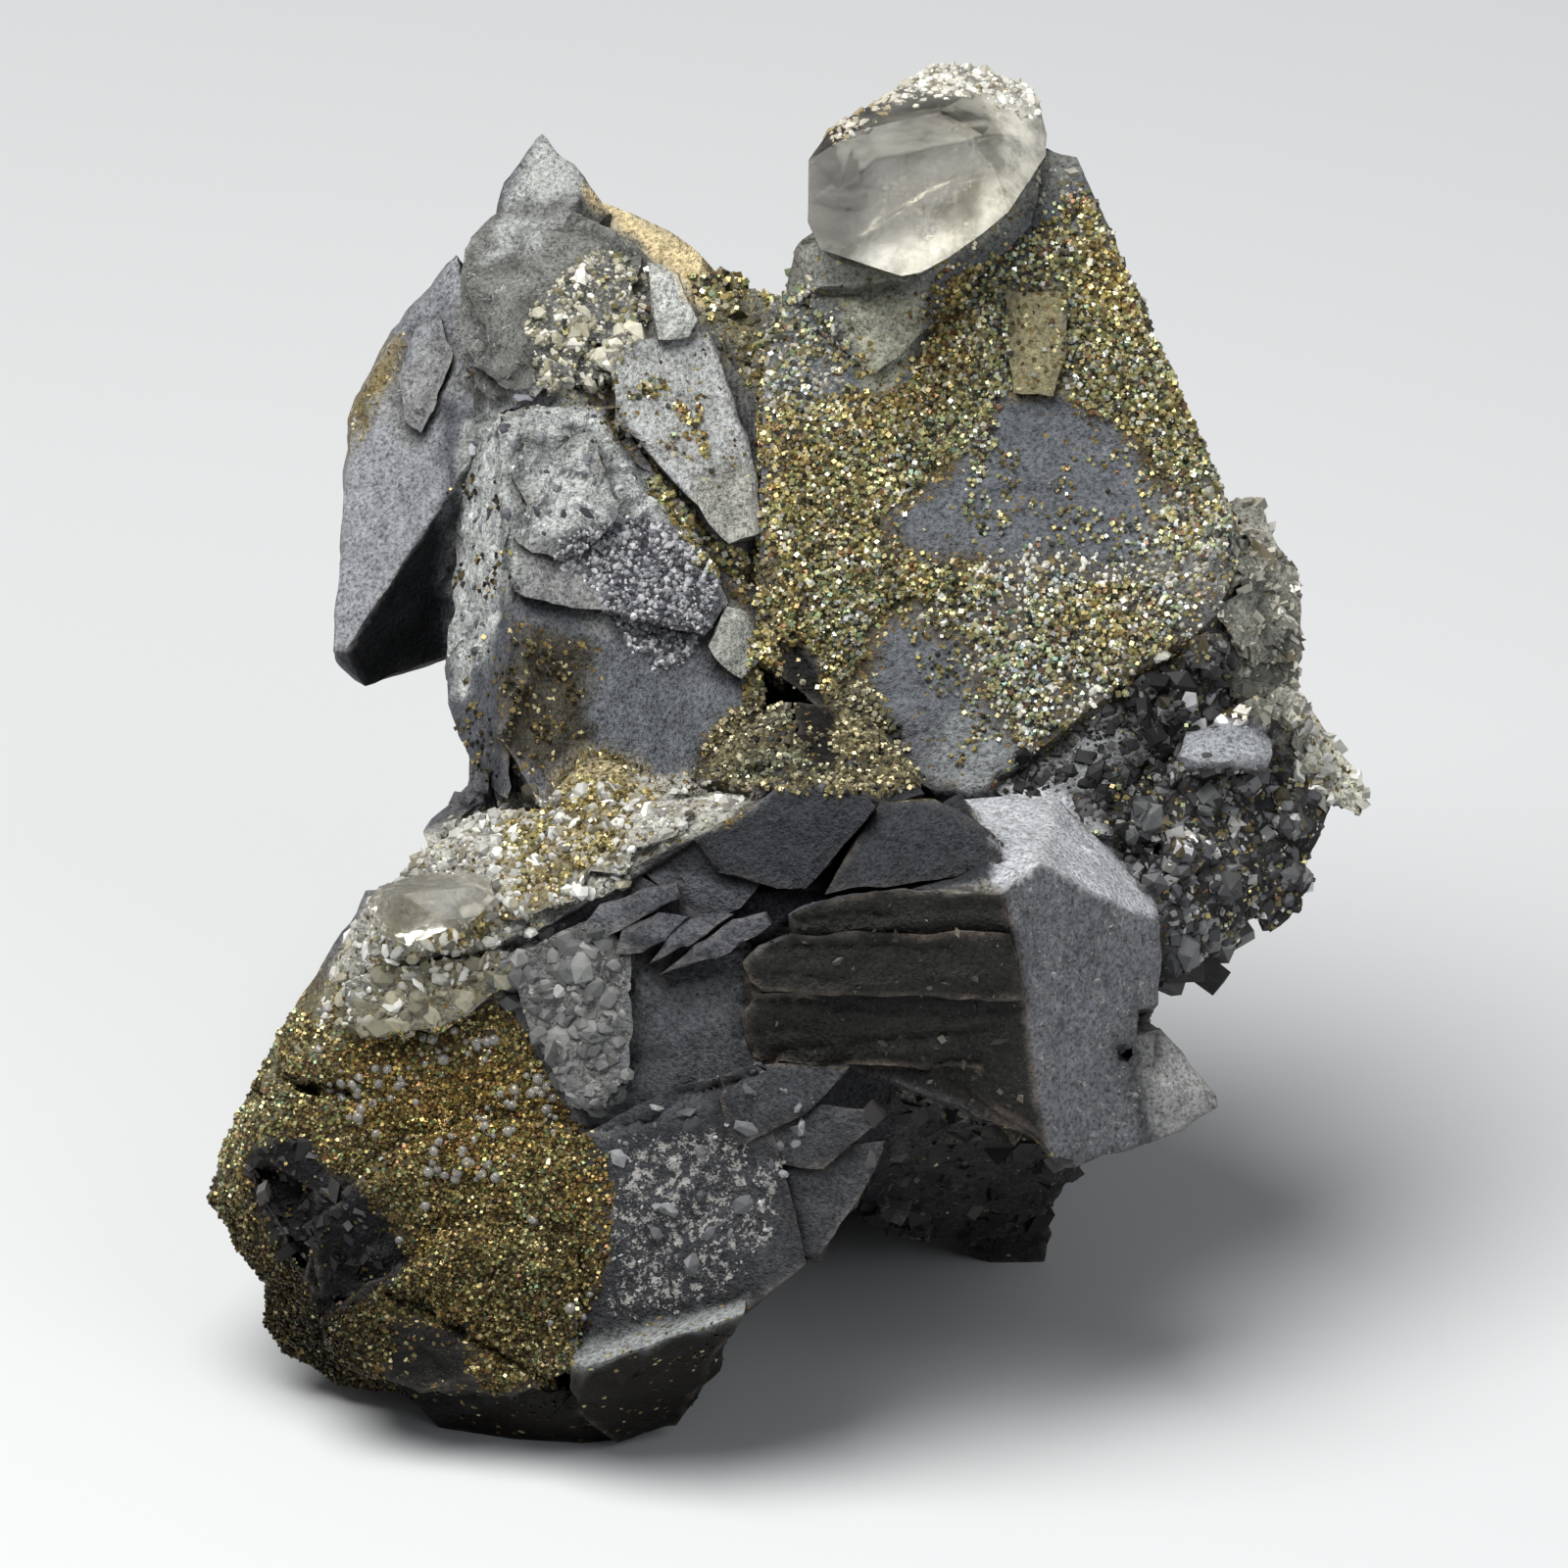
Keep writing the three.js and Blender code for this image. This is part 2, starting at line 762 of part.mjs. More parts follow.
// The ridged crystal at the right front: stacked plates on its dark face, a plain grey face beside
function ridgedCrystal() {
  const body = crystal(
    darkFace(12, -6),
    greyFace(14, -4.4),
    greyFace(17.6, -6.2),
    greyFace(20.6, -7.8),
    greyFace(20.6, -11.8),
    greyFace(18.6, -14.4),
    greyFace(20, -19.6),
    greyFace(17.5, -20.2),
    greyFace(16, -20.9),
    greyFace(14.9, -20.5),
    darkFace(14.2, -19.6),
    darkFace(13.4, -13.2),
    darkFace(6, -14, -1),
    darkFace(5, -7, -0.6),
    [9, -0.8, 4],
    [12.5, -0.8, 2.6],
    [15, -0.7, 2.4],
    [16.5, -2.2, 2],
    [18.6, -4.3, 4],
    [20.4, -6.6, 7],
    [19.4, -18, 1],
    [16, -19.6, 2],
    [20, -8, -1],
    [8, -14, 2],
  );
  const layers = [
    { proud: 0, outline: [[0.3, -7.1], [1.2, -6.6], [3, -6.2], [6, -5.8], [12, -6], [12.4, -8.6], [0.5, -8.6]] },
    { proud: 0.5, outline: [[-1.3, -8.8], [0.4, -8.2], [12.3, -8.2], [13, -11.8], [-1.2, -11.3], [-1.9, -10.7], [-2.1, -9.7]] },
    { proud: -0.3, outline: [[-1.5, -11.5], [12.8, -11], [13.6, -15.6], [3, -15.4], [-1.4, -15], [-2.1, -14], [-2.2, -12.5]] },
    { proud: -0.8, outline: [[2, -15], [13.5, -15], [14.2, -19.4], [12.6, -19], [9.8, -17.8], [6, -16.2]] },
  ];
  const plates = layers.map(({ proud, outline }) => plate(darkFace, outline, proud, 4));
  const tooth = crystal(
    greyFace(19, -15.2),
    [20.5, -13.1, 7],
    [21.8, -14.6, 6.6],
    [23.7, -17.2, 7],
    [23.8, -17.8, 7],
    [22, -19, 7.2],
    greyFace(20, -19.6),
    greyFace(20.1, -16.3, 0.5),
    [19, -14, 2],
    [19, -19, 2],
    [22.4, -17.4, 2],
  );
  return [body, ...plates, tooth];
}

// The dark broken matrix under the ridged crystal, with the right foot
function lowerMatrix() {
  const lump = [
    [4.8, -21, 3],
    [4.6, -23.6, -6],
    [6.5, -24.5, -10],
    [10, -25.3, -14],
    [13, -26.2, -17.4],
    [15, -18, 6],
    [16.3, -21, -2],
    [13.6, -22.4, -12],
    [6, -15, 8],
    [-2, -16, 6],
    [-2, -22, -16],
    [13, -22, -22],
    [16, -14, -8],
  ];
  const foot = crystal(
    [12.6, -22.2, -11],
    [13.9, -22.5, -12],
    [14.8, -24.9, -15],
    [14.5, -26.8, -17],
    [12, -26.9, -17],
    [10, -26, -16],
    [13.6, -25.6, -23],
    [10, -24, -20],
  );
  const underside = (spot, facing) => facing.y < 0.2 && facing.z > -0.4 && spot.x > 5.4;
  return [crystal(...lump), foot, ...druse(lump, 13, 21, 1.7, underside)];
}

// The druse matrix at the right: hundreds of small blocks, a pale flat plate and coin-like plates
function rightMatrix() {
  const lump = [
    [16.5, -3, 3.5],
    [20.4, -7.4, 5],
    [21, -10.6, 2.5],
    [23.2, -9.6, 0.5],
    [25.6, -6.6, -1],
    [29.2, -3.8, -3],
    [30.4, -1.4, -4],
    [29.4, 2, -5],
    [27.8, 5, -5],
    [24, 5, -3.4],
    [17, 1, 0],
    [27, 0, -15],
    [21, -8, -14],
    [18, 4, -16],
  ];
  const wall = crystal(
    [24.2, 13.2, -2.9],
    [25.6, 13, -4.4],
    [26.6, 12.4, -5],
    [28.1, 11.9, -5.5],
    [28.5, 10.8, -5],
    [28.6, 6, -5],
    [28.4, 5, -5],
    [24.6, 4.6, -2.8],
    [24, 9, -2.2],
    [26, 12, -13],
    [28, 6, -13],
    [22, 8, -13],
  );
  const sheet = crystal(
    [24.4, 15.7, -8],
    [25.1, 15.9, -8],
    [26, 15.8, -8],
    [26.5, 15, -7.6],
    [26.9, 13.9, -7.2],
    [27.4, 12.8, -6.6],
    [28.2, 12, -6.4],
    [26.8, 11, -5.4],
    [25.6, 13.6, -6.6],
    [25, 14.8, -7.2],
    [24, 14, -12],
    [26.4, 14, -9.4],
    [27.6, 11.6, -10],
    [24.6, 15.6, -9.6],
  );
  const spur = crystal(
    [28.4, 5.4, -5],
    [30.3, 2.6, -5],
    [32.2, -0.6, -5],
    [31.8, -1.5, -5],
    [29.6, -1.2, -3.6],
    [28, 2, -3.4],
    [29, 1, -11],
  );
  const shelf = crystal(
    [21.7, 1.4, 3],
    [24, 1.2, 3],
    [26.9, 1.5, 1.6],
    [22.2, 2.8, 0.3],
    [25, 3.9, -1],
    [26.8, 2.6, -1],
    [21.8, 0.6, 2.6],
    [26.6, 0.6, 1.2],
    [23, 1, -4],
    [26, 1, -5],
  );
  const coins = [
    [26.2, 3.6, -1.4, 1.2],
    [27.7, 4.1, -2.2, 1.3],
    [28.4, 2.2, -2.6, 1.1],
  ].map(([right, up, near, radius]) => coin(right, up, near, radius));
  const seen = (spot, facing) => facing.z > 0.05 || facing.x > 0.4 || facing.y < -0.4;
  const shadow = [
    tallFace(24, 9.2, -0.6),
    tallFace(11.4, -0.3, -0.6),
    [24.6, 3, -3.4],
    [17, -3, 2.6],
    [20, 3, -8],
  ];
  return [
    crystal(...lump),
    wall,
    sheet,
    spur,
    shelf,
    ...coins,
    crystal(...shadow),
    ...druse(shadow, 10, 31, 1.3, (spot, facing) => facing.z > 0.3),
    ...druse(lump, 44, 33, druseSize, seen),
  ];
}

function coin(right, up, near, radius) {
  const geometry = new THREE.CylinderGeometry(radius * 0.8, radius, 0.7, 8);
  geometry.rotateX(1.2);
  geometry.rotateY(0.3);
  geometry.translate(right, up, near);
  return solidOf(geometry);
}

// The rough terrace in the valley, between the feet of the two tall crystals
function valleyFloor() {
  const slope = [
    [-4.6, 0.2, 9.4],
    [0, -0.4, 12.8],
    [4.6, -0.8, 13],
    [7.6, -1, 11],
    [-3.4, 2.2, 3.6],
    [0, 4.6, 1],
    [4.6, 3.6, 2.6],
    [7.4, 0.6, 4],
    [0, -6, 2],
    [6, -6, 2],
  ];
  return [crystal(...slope), ...druse(slope, 12, 41, 1.2, (spot, facing) => facing.z > 0.2)];
}

// What holds the crystals together, and the crystals and feet on the side that the view hides
function backSide() {
  const core = [
    [-14, 22, -14],
    [-2, 20, -14],
    [18, 18, -14],
    [23, 4, -12],
    [18, -8, -8],
    [8, -18, -2],
    [-6, -22, -6],
    [-20, -18, -4],
    [-19, -9, -3],
    [-14, -2, -6],
    [-14, 10, -12],
    [-9, 17, -25],
    [8, 18, -27],
    [18, 2, -26],
    [12, -15, -26],
    [-7, -22.2, -29],
    [6, -22.2, -29],
    [-16, -12, -22],
  ];
  const crystals = [
    dogtooth([-6, -2, -12], [-12.5, 27, -24], 15, 0.5, 0.3),
    dogtooth([8, 0, -14], [11, 28, -27], 17, 0.48, 0.9),
    dogtooth([9, -2, -12], [17, -5, -33], 15, 0.45, 0.2),
    dogtooth([-5, -6, -12], [-12, -9, -32], 14, 0.5, 0.6),
    dogtooth([-4, -10, -16], [-3, 7, -35], 14, 0.55, 1.2),
    dogtooth([4, -8, -14], [7, -25, -30], 13, 0.5, 0.1),
  ];
  const behind = (spot, facing) => facing.z < -0.25;
  return [crystal(...core), ...crystals, ...druse(core, 12, 51, 3.6, behind)];
}

// Hollows where a neighbour has broken out or the plates gape
function hollows() {
  const socket = crystal(
    frontFace(-30.2, -20.4, 3),
    frontFace(-27.6, -20, 3),
    frontFace(-26.3, -20.9, 3),
    frontFace(-24.2, -22.5, 3),
    frontFace(-26.1, -24.3, 3),
    frontFace(-25.7, -28.4, 3),
    frontFace(-27.6, -26.6, 3),
    frontFace(-29.6, -23.4, 3),
    frontFace(-28.9, -21, -2.8),
    frontFace(-26.6, -22.2, -2.4),
    frontFace(-26.6, -26.4, -2.2),
  );
  const notch = crystal(
    [-32.5, -25.6, 16],
    [-30, -25.9, 16],
    [-28.5, -27.7, 16],
    [-28.5, -30.2, 16],
    [-32.5, -32, 16],
    [-32.5, -25.6, -16],
    [-30, -25.9, -16],
    [-28.5, -27.7, -16],
    [-28.5, -30.2, -16],
    [-32.5, -32, -16],
  );
  const slot = crystal(
    frontFace(-28.4, -16.3, 3),
    frontFace(-25.2, -16.4, 3),
    frontFace(-24.6, -17.2, 3),
    frontFace(-28, -17.3, 3),
    frontFace(-26.6, -16.6, -2.4),
    frontFace(-26, -16.9, -2.4),
  );
  const crack = crystal(
    spireFace(-9.1, 19.9, 4),
    spireFace(-8.3, 19.2, 4),
    spireFace(-2.4, 12.6, 4),
    spireFace(-3.4, 12, 4),
    spireFace(-8.6, 19.3, -0.6),
    spireFace(-3.2, 12.4, -1.6),
  );
  const vents = [
    [0.5, 4, 0.7, 2.6],
    [3.2, 4.3, 0.8, 1.4],
    [5.2, 2.4, 0.8, 2.6],
  ].map(([right, up, width, height]) =>
    crystal(
      [right - width / 2, up - height / 2, 14],
      [right + width / 2, up - height / 2, 14],
      [right + width / 3, up + height / 2, 14],
      [right - width / 3, up + height / 2, 14],
      [right, up - height / 3, -1],
      [right, up + height / 3, -2],
    ),
  );
  const bite = crystal(
    [19.3, -12.2, 12],
    [21.4, -12, 9],
    [20.6, -13.5, 9],
    [19.2, -14.2, 12],
    [19.6, -12.9, 5],
    [21.4, -12.8, 3],
  );
  const pit = crystal(
    [17.9, -14.4, 13],
    [19.5, -14.3, 12],
    [18.8, -15.5, 13],
    [18.7, -14.8, 7],
    [17.9, -15.2, 12.5],
  );
  const cavity = crystal(
    [20.4, -2.6, 9],
    [21.4, -3, 9],
    [21.2, -4.2, 9],
    [19.8, -4.2, 9],
    [20.6, -3.4, -2],
    [20.4, -3.9, -2],
  );
  return fuse([socket, notch, slot, crack, bite, pit, cavity, ...vents]);
}

// The clear crystal on top: a rounded block with one smooth face to the front
function perchedCrystal() {
  const glassFace = face([1.3, 34.4, -2], [13.7, 33.6, -2.4], [6.5, 28, 0.4]);
  const front = [
    [1.35, 34.5, -0.6],
    [1.3, 31, -0.4],
    [2, 29.5],
    [4.9, 28.5],
    [6.5, 28],
    [7.6, 28.2],
    [9, 29],
    [11, 30.4],
    [12.4, 31.6],
    [11.6, 34.2, 0.2],
    [11, 35.9],
    [8.6, 37.2],
    [4, 36.1],
  ].map(([right, up, proud = 0]) => glassFace(right, up, proud));
  const rear = [
    [13.75, 33.6, -4.4],
    [14.5, 34.8, -6],
    [14.6, 36, -7],
    [14.2, 37.6, -7.4],
    [13.5, 38.7, -7.6],
    [12, 39.3, -7.4],
    [10.4, 39.9, -8],
    [8.4, 39.9, -8],
    [6.2, 38.3, -6.4],
    [2.6, 36.3, -4.6],
    [2, 35.4, -6],
    [1.6, 31, -7],
    [13, 33, -12],
    [9, 38, -13],
    [3, 35.4, -12],
    [5, 30, -11],
  ];
  return crystal(...front, ...rear);
}

// The grey, half-clear collar that the clear crystal grew from
function collar() {
  const shoulder = crystal(
    [0.5, 29.6, -7.6],
    [1.5, 30.2, -8],
    [2.3, 29.4, -4.8],
    [5.6, 28, -3.4],
    [6.8, 27.8, -3.2],
    [0.6, 27, -6.4],
    [2, 27.6, -4.6],
    [2, 26, -10],
    [8, 30, -12],
    [1, 29, -13],
  );
  const skirt = crystal(
    tallFace(1, 27.4, 0.8),
    tallFace(3.2, 24.2, 0.7),
    tallFace(5.2, 22.6, 0.6),
    tallFace(6.6, 23.8, 0.8),
    tallFace(8, 26.8, 1.2),
    tallFace(11, 29.2, 1.2),
    tallFace(13.6, 31, 1.2),
    tallFace(14.3, 34.2, 1.2),
    tallFace(8, 32, 1.6),
    tallFace(3, 29, 1.6),
    tallFace(8, 30, -4),
    tallFace(5, 24.5, -3),
    tallFace(13, 33, -4),
  );
  const tab = plate(
    tallFace,
    [
      [12.4, 27.4],
      [15.6, 27],
      [15.7, 24],
      [14.9, 21.6],
      [12.9, 21.8],
      [12.3, 24.6],
    ],
    0.7,
    2,
  );
  return [shoulder, skirt, tab];
}

// The clear, ribbed prism that lies on the pale band
function clearPrism() {
  return crystal(
    [-22.8, -6.4, 9.6],
    [-22.2, -5.6, 8.6],
    [-19.6, -4.8, 9],
    [-16.2, -5, 10.6],
    [-15.8, -6.2, 12.6],
    [-16.7, -7.2, 13.2],
    [-19, -7.5, 13],
    [-20.6, -8.9, 12.2],
    [-22.2, -8.2, 11],
    [-20.8, -6, 12.2],
    [-17, -5.6, 12.8],
    [-20, -7.4, 7],
    [-17, -6.6, 9],
  );
}

// A crust of pyrite: a thin ragged sheet, with cubes standing out of it
function crust(reach, outline, seed, cubes, pitch = sheetPitch, steepest = 1) {
  const sheet = drape(reach, outline, {
    lift: crustGap + 0.02,
    low: crustThickness * 0.4,
    high: crustThickness,
    steepest,
    pitch,
    seed,
  });
  const random = stream(seed + 100);
  const grains = [];
  for (let tries = 0; grains.length < cubes && tries < 2000; tries += 1) {
    const around = outline[Math.floor(random() * outline.length)];
    const [right, up] = around.map((place) => place + (random() - 0.5) * 12);
    if (!contains(outline, right, up)) continue;
    const spot = [right, up, reach(right, up) + crustGap + crustThickness * 0.7];
    grains.push(block(random, spot, pyriteSize));
  }
  return fuse([sheet, ...grains]);
}

// The same piece moved a little each way, in one: what is cut out around it to leave it clear
function halo(solid, directions) {
  return fuse(directions.map((direction) => solid.translate(direction.map((part) => part * crustGap))));
}

const bare = fuse([
  ...backSide(),
  ...tallCrystal(),
  ...spireCrystal(),
  ...leftCrystal(),
  ...backRidge(),
  ...frontCrystal(),
  ...terraces(),
  ...ridgedCrystal(),
  ...lowerMatrix(),
  ...rightMatrix(),
  ...valleyFloor(),
  ...collar(),
]).simplify(finest);

// Rough second growths: on the spire's shoulder, over its front, on the pale band and at the right
const bareReach = reachOf(bare);
const growths = [
  {
    outline: [
      [-17.3, 22.6],
      [-17.7, 27],
      [-17.3, 29.8],
      [-15, 31.2],
      [-11.8, 31.6],
      [-9.6, 30],
      [-7, 28.8],
      [-7.4, 26.5],
      [-7.8, 24.4],
      [-10.2, 22],
      [-12.4, 21.2],
      [-16.2, 21.4],
    ],
    high: 1,
    seed: 71,
  },
  {
    outline: [
      [-15.2, 11],
      [-15, 20],
      [-10.6, 20.2],
      [-9, 17.6],
      [-6, 14.6],
      [-6.4, 12.8],
      [-9.6, 13.2],
      [-11.8, 11.8],
    ],
    high: 0.7,
    seed: 72,
  },
  {
    outline: [
      [-3.4, -1.6],
      [-5, -3],
      [-6.8, -3.6],
      [-8, -4.9],
      [-9.2, -5.9],
      [-11, -6.5],
      [-12.8, -6.9],
      [-13.2, -8],
      [-15, -9.2],
      [-17.5, -10.4],
      [-20, -11],
      [-23, -10.6],
      [-23.4, -8],
      [-22.4, -6.2],
      [-19.6, -3.6],
      [-17, -2.2],
      [-12.5, -1.4],
      [-7, -1],
      [-2, -0.6],
    ],
    high: 0.9,
    seed: 73,
  },
  {
    outline: [
      [23.4, 13],
      [24.8, 14],
      [27.6, 12],
      [28.4, 10],
      [28.4, 5.4],
      [26.4, 4.8],
      [24.6, 6],
      [24.2, 9.4],
    ],
    high: 1,
    seed: 74,
  },
  {
    outline: [
      [28.4, 4.6],
      [30, 2.4],
      [31.6, -0.6],
      [29.6, -1],
      [27.6, 0.4],
      [27.2, 3],
    ],
    high: 0.9,
    seed: 75,
  },
].map(({ outline, high, seed }) =>
  drape(bareReach, outline, { lift: -1.5, low: 1.6, high: 1.5 + high, pitch: 1.8, seed }),
);

const standing = [0, Math.cos(lean), Math.sin(lean)];
const calcite = largest(
  fuse([bare, ...growths]).subtract(hollows()).trimByPlane(standing, floorLevel).simplify(finest),
);

const clear = {
  clear_calcite_crystal: perchedCrystal(),
  clear_calcite_prism: clearPrism(),
};
const ways = [
  [0, 0, 1],
  [1, 0, 0],
  [-1, 0, 0],
  [0, 1, 0],
  [0, -1, 0],
];
const calciteHalo = halo(calcite, ways);
for (const [name, piece] of Object.entries(clear)) clear[name] = largest(piece.subtract(calciteHalo));
const allHalo = fuse([calciteHalo, ...Object.values(clear).map((piece) => halo(piece, [[0, 0, 0], ...ways]))]);

const reach = reachOf(calcite);
const crusts = {
  pyrite_crust_tall_face: crust(
    reach,
    [
      [11.8, 29.6],
      [12, 24],
      [11.8, 21],
      [10.6, 18],
      [8.8, 17],
      [6.6, 16.6],
      [6.8, 14],
      [9, 12.4],
      [14, 13],
      [19, 12.2],
      [22.4, 10.8],
      [22.4, 8.2],
      [13.4, 1.4],
      [12.2, 3],
      [11.2, 5.6],
      [9, 8.6],
      [5.4, 9.6],
      [4.4, 6.2],
      [1.4, 5.4],
      [-1, 6.6],
      [-1, 14],
      [-0.4, 20.6],
      [5.6, 21],
      [7.6, 24.4],
      [9.2, 27.2],
    ],
    61,
    12,
  ),
  pyrite_crust_tall_edge: crust(
    reach,
    [
      [15.2, 34],
      [16.8, 33.6],
      [19.4, 28],
      [22.4, 21.6],
      [24.6, 16.4],
      [24.4, 11],
      [22.9, 10.8],
      [22, 13.4],
      [20.4, 18],
      [17.6, 20],
      [15.8, 21],
      [15.8, 27.6],
      [13, 28.8],
      [14.8, 31],
    ],
    67,
    8,
  ),
  pyrite_crust_front_face: crust(
    reach,
    [
      [-22.6, -14.8],
      [-20, -14.2],
      [-17.6, -13.4],
      [-15.6, -12.2],
      [-13.6, -14],
      [-12, -17.2],
      [-10.8, -19],
      [-9.8, -21],
      [-9.8, -25],
      [-11, -29],
      [-13, -31.6],
      [-17, -31.6],
      [-20.6, -29.6],
      [-23.4, -28.2],
      [-19.6, -24.6],
      [-22.4, -23.4],
      [-22.6, -21.6],
      [-26, -20.2],
      [-28.6, -19.4],
      [-28.6, -17.6],
      [-26, -17.6],
      [-24.4, -16.4],
    ],
    62,
    8,
    2.1,
  ),
  pyrite_crust_sliver: crust(
    reach,
    [
      [-8.4, 23.8],
      [-5, 23.8],
      [-3.4, 21.6],
      [-2.2, 17],
      [-3.4, 15.8],
      [-5.4, 17],
      [-8.4, 20.6],
    ],
    63,
    4,
  ),
  pyrite_crust_spire_foot: crust(
    reach,
    [
      [-15.4, 5.2],
      [-14.8, 8.6],
      [-10.4, 7.4],
      [-10.6, 4],
      [-10.8, 2.2],
      [-13.4, 0.6],
      [-15, 2],
    ],
    64,
    4,
  ),
  pyrite_crust_valley: crust(
    reach,
    [
      [-3.6, 0.6],
      [-4, 1.8],
      [-1.8, 3],
      [0.2, 3.2],
      [3.8, 3.4],
      [4.6, 0.4],
      [3.6, -0.2],
    ],
    65,
    4,
    1.2,
    3,
  ),
  pyrite_crust_band: crust(
    reach,
    [
      [-15.6, -2.8],
      [-13, -1.6],
      [-12.4, 0],
      [-10.6, 1.2],
      [-7.4, 0],
      [-7.6, -2],
      [-8.4, -4],
      [-10.4, -5.6],
      [-12.4, -6.4],
      [-14, -7.6],
      [-15.4, -7.6],
      [-15, -5],
    ],
    66,
    4,
    1.7,
    2,
  ),
};

const pieces = { grey_calcite_cluster: [calcite, greyCalcite] };
for (const [name, piece] of Object.entries(clear)) pieces[name] = [piece, clearCalcite];
for (const [name, piece] of Object.entries(crusts)) {
  pieces[name] = [largest(piece.subtract(allHalo).simplify(finest)), pyrite];
}

const cluster = new THREE.Group();
for (const [name, [solid, material]] of Object.entries(pieces)) {
  const mesh = new THREE.Mesh(geometryOf(solid), material);
  mesh.name = name;
  cluster.add(mesh);
}

// Leaned back by the angle of the view, and set with its feet on the floor, over the origin
cluster.rotation.x = Math.PI / 2 - lean;
cluster.updateMatrixWorld(true);
const span = new THREE.Box3().setFromObject(cluster, true);
const middle = span.getCenter(new THREE.Vector3());
cluster.position.set(-middle.x, -middle.y, -span.min.z);

export default cluster;
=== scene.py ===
import math

import bmesh
import bpy
import numpy as np
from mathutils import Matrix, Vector, kdtree
from mathutils.bvhtree import BVHTree


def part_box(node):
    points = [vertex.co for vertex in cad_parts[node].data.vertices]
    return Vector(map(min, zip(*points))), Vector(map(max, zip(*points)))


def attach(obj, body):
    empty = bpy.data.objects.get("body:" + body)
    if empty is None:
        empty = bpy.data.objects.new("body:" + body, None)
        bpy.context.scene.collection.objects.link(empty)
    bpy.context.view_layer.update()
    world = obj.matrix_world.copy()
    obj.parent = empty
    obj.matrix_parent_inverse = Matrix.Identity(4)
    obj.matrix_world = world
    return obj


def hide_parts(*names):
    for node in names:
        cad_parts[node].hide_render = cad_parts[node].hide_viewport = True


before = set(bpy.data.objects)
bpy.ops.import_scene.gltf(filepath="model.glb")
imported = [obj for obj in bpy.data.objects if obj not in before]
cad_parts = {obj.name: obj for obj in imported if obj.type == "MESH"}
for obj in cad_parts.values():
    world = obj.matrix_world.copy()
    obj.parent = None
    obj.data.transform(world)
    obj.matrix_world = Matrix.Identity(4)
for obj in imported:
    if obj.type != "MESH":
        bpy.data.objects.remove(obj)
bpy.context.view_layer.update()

# Places are given as the front view sees them, in mm: right, up and near from the middle of the view
view = {
    "lean": 24.0,  # degrees, how far above level the camera looks from
    "middle": (-0.35, -5.0248, 31.2),  # mm, the middle of the view in the model's own frame
    "width": 86.5,  # mm across the picture
    "distance": 1500.0,  # mm
}
sinLean = math.sin(math.radians(view["lean"]))
cosLean = math.cos(math.radians(view["lean"]))
seenAxes = np.array([[1, 0, 0], [0, sinLean, cosLean], [0, -cosLean, sinLean]])
seenMiddle = np.array(view["middle"])


def toSeen(points):
    # metres in the model's frame as mm in the view
    return (np.asarray(points, float) * 1000 - seenMiddle) @ seenAxes.T


def toModel(points):
    # mm in the view as metres in the model's frame
    return (np.asarray(points, float) @ seenAxes + seenMiddle) / 1000


def lattice(cells, seed):
    # a repeatable number from -1 to 1 for each whole-number corner
    mixed = cells[:, 0] * 73856093 ^ cells[:, 1] * 19349663 ^ cells[:, 2] * 83492791 ^ seed * 2654435761
    mixed = (mixed ^ (mixed >> 13)) * 1274126177
    mixed = (mixed ^ (mixed >> 16)) & 0xFFFFFF
    return mixed / 0x7FFFFF - 1.0


def ripple(points, size, seed):
    # soft noise from -1 to 1, with lumps of about size mm
    scaled = points / size
    low = np.floor(scaled).astype(np.int64)
    part = scaled - low
    part = part * part * (3 - 2 * part)
    total = np.zeros(len(points))
    for corner in range(8):
        step = np.array([corner & 1, (corner >> 1) & 1, (corner >> 2) & 1])
        near = np.where(step, part, 1 - part)
        total += near[:, 0] * near[:, 1] * near[:, 2] * lattice(low + step, seed)
    return total


def rough(points, size, seed, levels=3):
    # ripples of size mm with finer and finer ones on them
    total = np.zeros(len(points))
    for level in range(levels):
        total += ripple(points, size / 2**level, seed + level) / 2**level
    return total / 1.5


def smooth(low, high, values):
    # 0 at low, 1 at high, and an even rise between them
    part = np.clip((values - low) / (high - low), 0, 1)
    return part * part * (3 - 2 * part)


def closeTo(points, corners, margin):
    # which points lie less than a margin outside the box round some corners of the view
    low, high = corners.min(axis=0) - margin, corners.max(axis=0) + margin
    return np.all((points[:, :2] > low) & (points[:, :2] < high), axis=1)


def insideBy(name, points, margin=3.0):
    # how far inside a named outline of the view each point lies, in mm, below 0 outside
    corners = np.array(outlines[name], float)
    result = np.full(len(points), -margin)
    close = np.nonzero(closeTo(points, corners, margin))[0]
    flat = points[close, :2]
    best = np.full(len(flat), margin**2)
    inside = np.zeros(len(flat), bool)
    for start, end in zip(corners, np.roll(corners, -1, axis=0)):
        along = end - start
        part = np.clip((flat - start) @ along / (along @ along), 0, 1)
        gap = flat - start - part[:, None] * along
        best = np.minimum(best, np.einsum("ij,ij->i", gap, gap))
        if along[1]:
            crosses = (start[1] > flat[:, 1]) != (end[1] > flat[:, 1])
            inside ^= crosses & (flat[:, 0] < along[0] * (flat[:, 1] - start[1]) / along[1] + start[0])
    result[close] = np.where(inside, 1, -1) * np.sqrt(best)
    return result


def patch(points, name, soft, ragged, size=1.6, seed=1):
    # 1 inside a named outline and 0 outside, with a border that is soft and ragged by so many mm
    edge = insideBy(name, points)
    share = np.zeros(len(points))
    close = np.nonzero(edge > -soft - 1.2 * ragged)[0]
    share[close] = smooth(-soft, soft, edge[close] + ragged * rough(points[close], size, seed))
    return share


